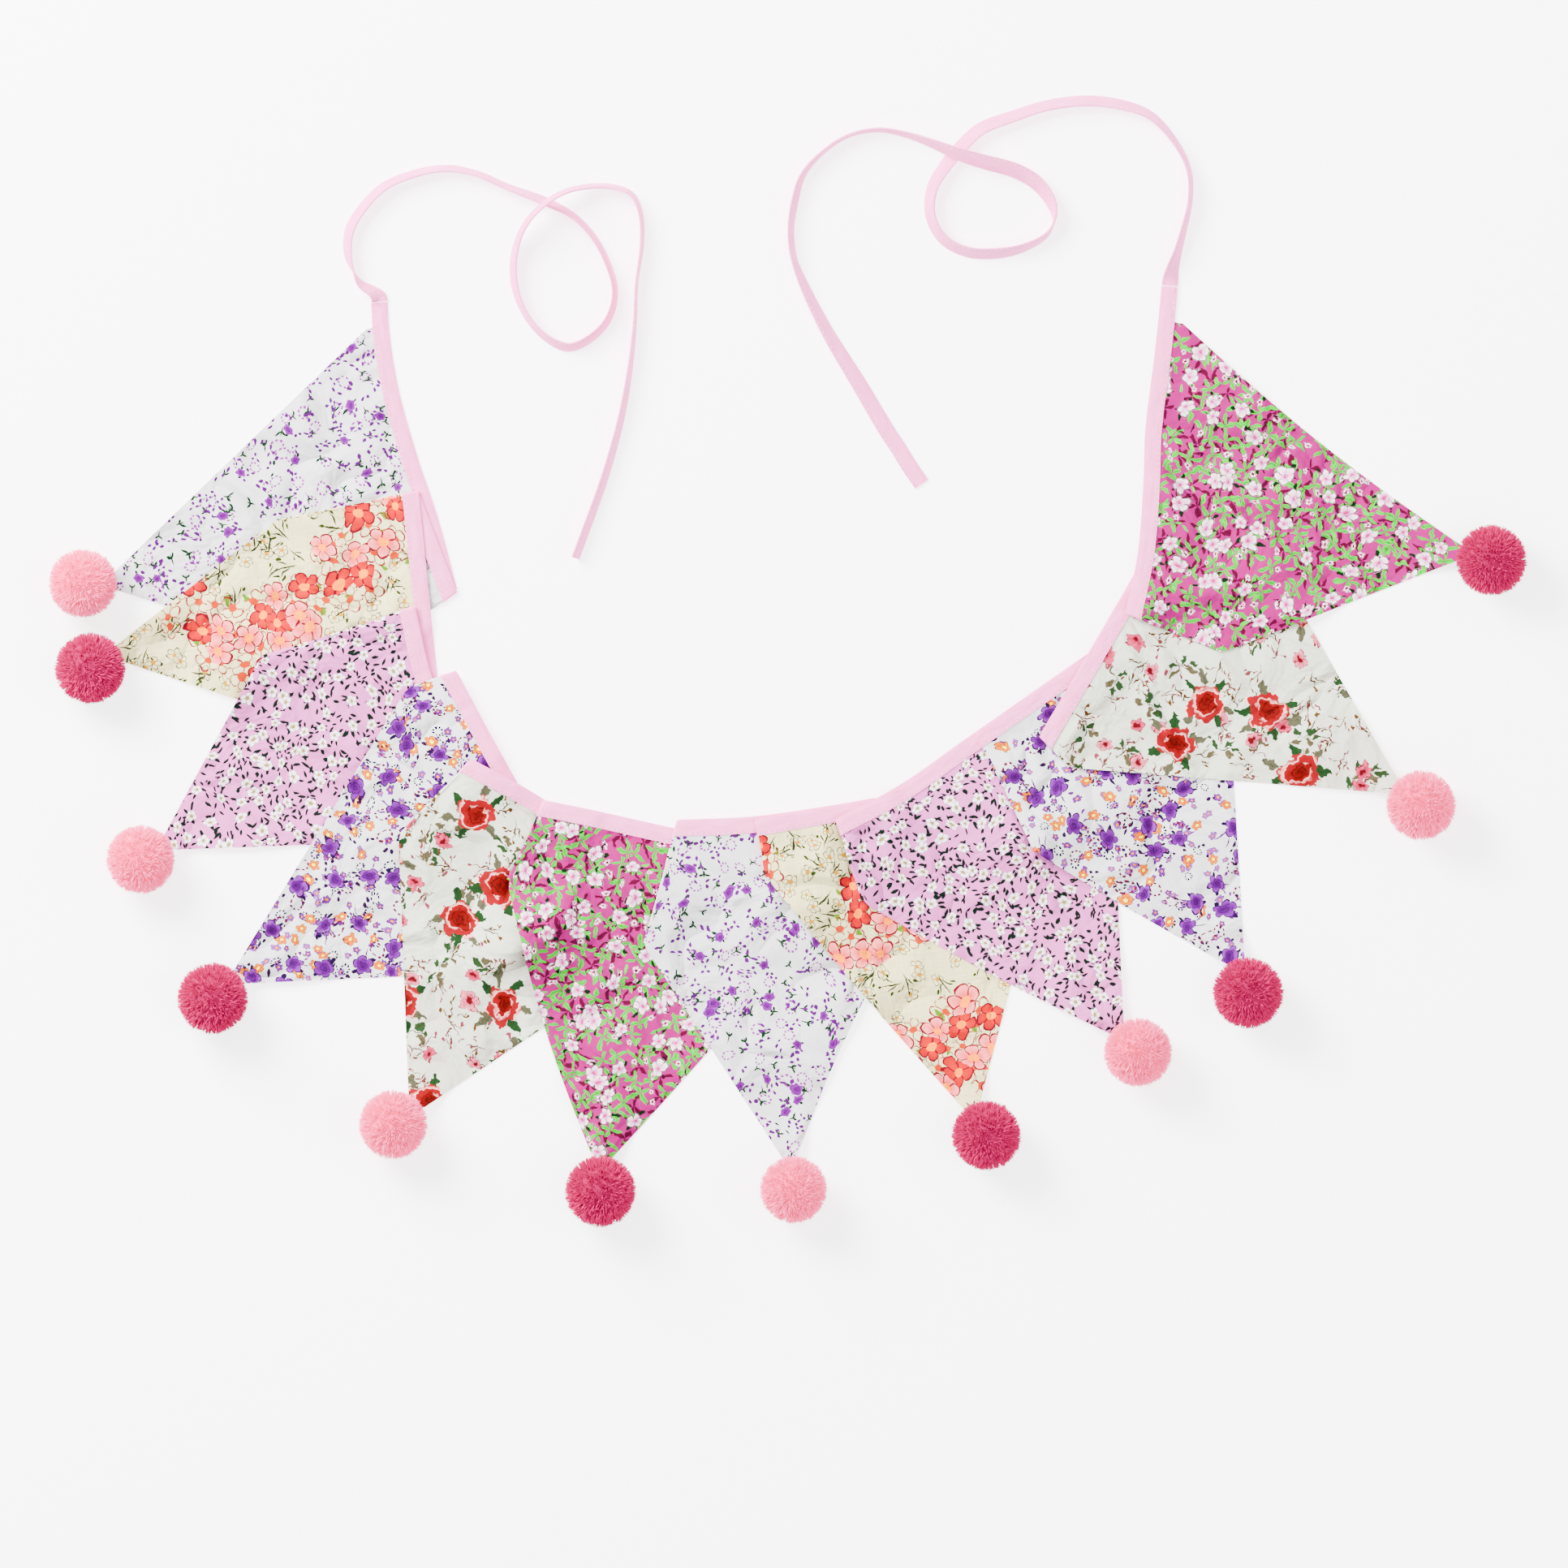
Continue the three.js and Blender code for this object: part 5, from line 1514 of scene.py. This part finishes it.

# %% [markdown]
# ## Pompom yarn
#
# The pompoms are of a light and a deep pink yarn. Light is caught between the strands, so
# the dyes are lifted a little. Each strand differs at random, and its lower part is painted
# darker, a painted shade that gives the ball its soft depth.

# %% Two yarns
YARN_TONES = {"light": ("FBC2D0", "F5A6B8", "FCD4DD"), "deep": ("F0389A", "CC1C78", "F454A8")}
YARN_LIFT = {"light": 1.2, "deep": 1.45}
yarn = {}
for name, codes in YARN_TONES.items():
    middle, low, high = [tuple(min(1, part * YARN_LIFT[name]) for part in hue(code)) for code in codes]
    yarn[name], w, surface = plain("yarn_" + name, middle, 0.95, 0.02, 0.0)
    strand = w.put("ShaderNodeAttribute", dict(attribute_name="strand"), out="Fac")
    depth = w.put("ShaderNodeAttribute", dict(attribute_name="depth"), out="Fac")
    color = w.over(middle, high, w.times(strand, 0.6))
    fibre = w.noise(w.put("ShaderNodeTexCoord", out="Object"), 700.0, 2.0, dimensions="3D")
    color = w.over(color, low, w.times(fibre, 0.25))
    # painted shade: the yarn darkens towards each strand's root, deep in the ball
    w.feed(surface.inputs["Base Color"], w.over(low, color, w.times(depth, 1.05, clamp=True)))
print("yarns:", list(yarn))

# %% [markdown]
# ## Dressing the model
#
# Each finished piece takes its material, rides on the model's one body and stands for its
# plain node.

# %% Dressing the pennants and pompoms
def wear(piece, material, node=None):
    piece.data.materials.clear()
    piece.data.materials.append(material)
    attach(piece, "root")
    if node:
        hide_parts(node)


for number, (row, made) in enumerate(zip(PENNANTS, pennants), 1):
    wear(made, prints[row["print"]], f"flag_{number:02d}")
# painted shade: the cores have no depth values, so they take the yarn's darker tone all over
for number, (row, (made, core)) in enumerate(zip(PENNANTS, pompoms), 1):
    wear(made, yarn[row["yarn"]], f"pompom_{number:02d}")
    wear(core, yarn[row["yarn"]])
print("dressed:", len(pennants), "pennants and", len(pompoms), "pompoms")

# %% [markdown]
# ## Dressing the strips
#
# The tape is cut 18.4 mm wide, twice what shows, and folded. A tie is the same strip sewn
# shut, so it is cut as wide, but it counts as one strip of half that width.

# %% Dressing the tape, ties and stitches
wear(tape, tape_material, "binding")
for made, name in zip(ties, TIES):
    wear(made, tape_material, name)
for made in sewing:
    wear(made, thread)
for made in [tape, *ties, *sewing, pennants[0], pompoms[0][0]]:
    low = min(point.co.z for point in made.data.vertices) / MM
    print(made.name, "lowest point", round(low, 2), "mm")

# %% [markdown]
# ## Surface
#
# The string lies on a plain white surface. It glows a little, as white paper under studio
# light seems to, so that the white cottons still stand out from it.

# %% The white surface
SURFACE_SIZE = 30
SURFACE_GLOW = 2.5
floor_material, w, surface = plain("surface", hue("FFFFFF"), 0.9, 0.1, 0)
cloud = w.noise(w.put("ShaderNodeTexCoord", out="Object"), 1.5, 1.0, dimensions="3D")
w.feed(surface.inputs["Base Color"], w.over((0.97, 0.97, 0.97, 1), (0.95, 0.95, 0.95, 1), cloud))
surface.inputs["Emission Color"].default_value = (1, 1, 1, 1)
surface.inputs["Emission Strength"].default_value = SURFACE_GLOW

bpy.ops.object.select_all(action="DESELECT")
bpy.ops.mesh.primitive_plane_add(size=SURFACE_SIZE, location=(0, 0, 0))
floor = bpy.context.active_object
floor.name = "floor"
floor.data.materials.append(floor_material)
print("surface:", SURFACE_SIZE, "m across")

# %% [markdown]
# ## Soft studio light
#
# The photo has soft light and hardly a shadow. Two large area lamps give it: the stronger
# one stands low on the left, so that it grazes the creases. A white sky fills the rest.

# %% Lamps and sky
LAMPS = (("sky_left", (-1.7, 1.5, 1.6), 1.6, 480), ("sky_right", (1.8, -0.6, 2.4), 2.6, 120))
SKY_STRENGTH = 2.0
for name, place, size, power in LAMPS:
    bpy.ops.object.light_add(type="AREA", location=place)
    lamp = bpy.context.active_object
    lamp.name = name
    lamp.data.size = size
    lamp.data.energy = power
    aim = floor.location - lamp.location
    lamp.rotation_euler = aim.to_track_quat("-Z", "Y").to_euler()

world = bpy.data.worlds.new("studio")
bpy.context.scene.world = world
world.use_nodes = True
sky = world.node_tree.nodes["Background"]
sky.inputs["Color"].default_value = (1, 1, 1, 1)
sky.inputs["Strength"].default_value = SKY_STRENGTH
print("lamps:", [name for name, *_ in LAMPS])

# %% [markdown]
# ## Camera
#
# The photo is taken from straight above, with no perspective to see, so the camera is a
# flat one. Its width and middle are the photo's, in metres.

# %% The camera above
VIEW_WIDTH = 0.8694
VIEW_CENTRE = (-0.00225, -0.0682)
VIEW_HEIGHT = 2.5
bpy.ops.object.camera_add(location=(*VIEW_CENTRE, VIEW_HEIGHT), rotation=(0, 0, 0))
camera = bpy.context.active_object
camera.data.type = "ORTHO"
camera.data.ortho_scale = VIEW_WIDTH
bpy.context.scene.camera = camera
print("camera above", VIEW_CENTRE)

# %% [markdown]
# Cloth may stand a little proud of the plain model, and these two boxes show by how
# much.
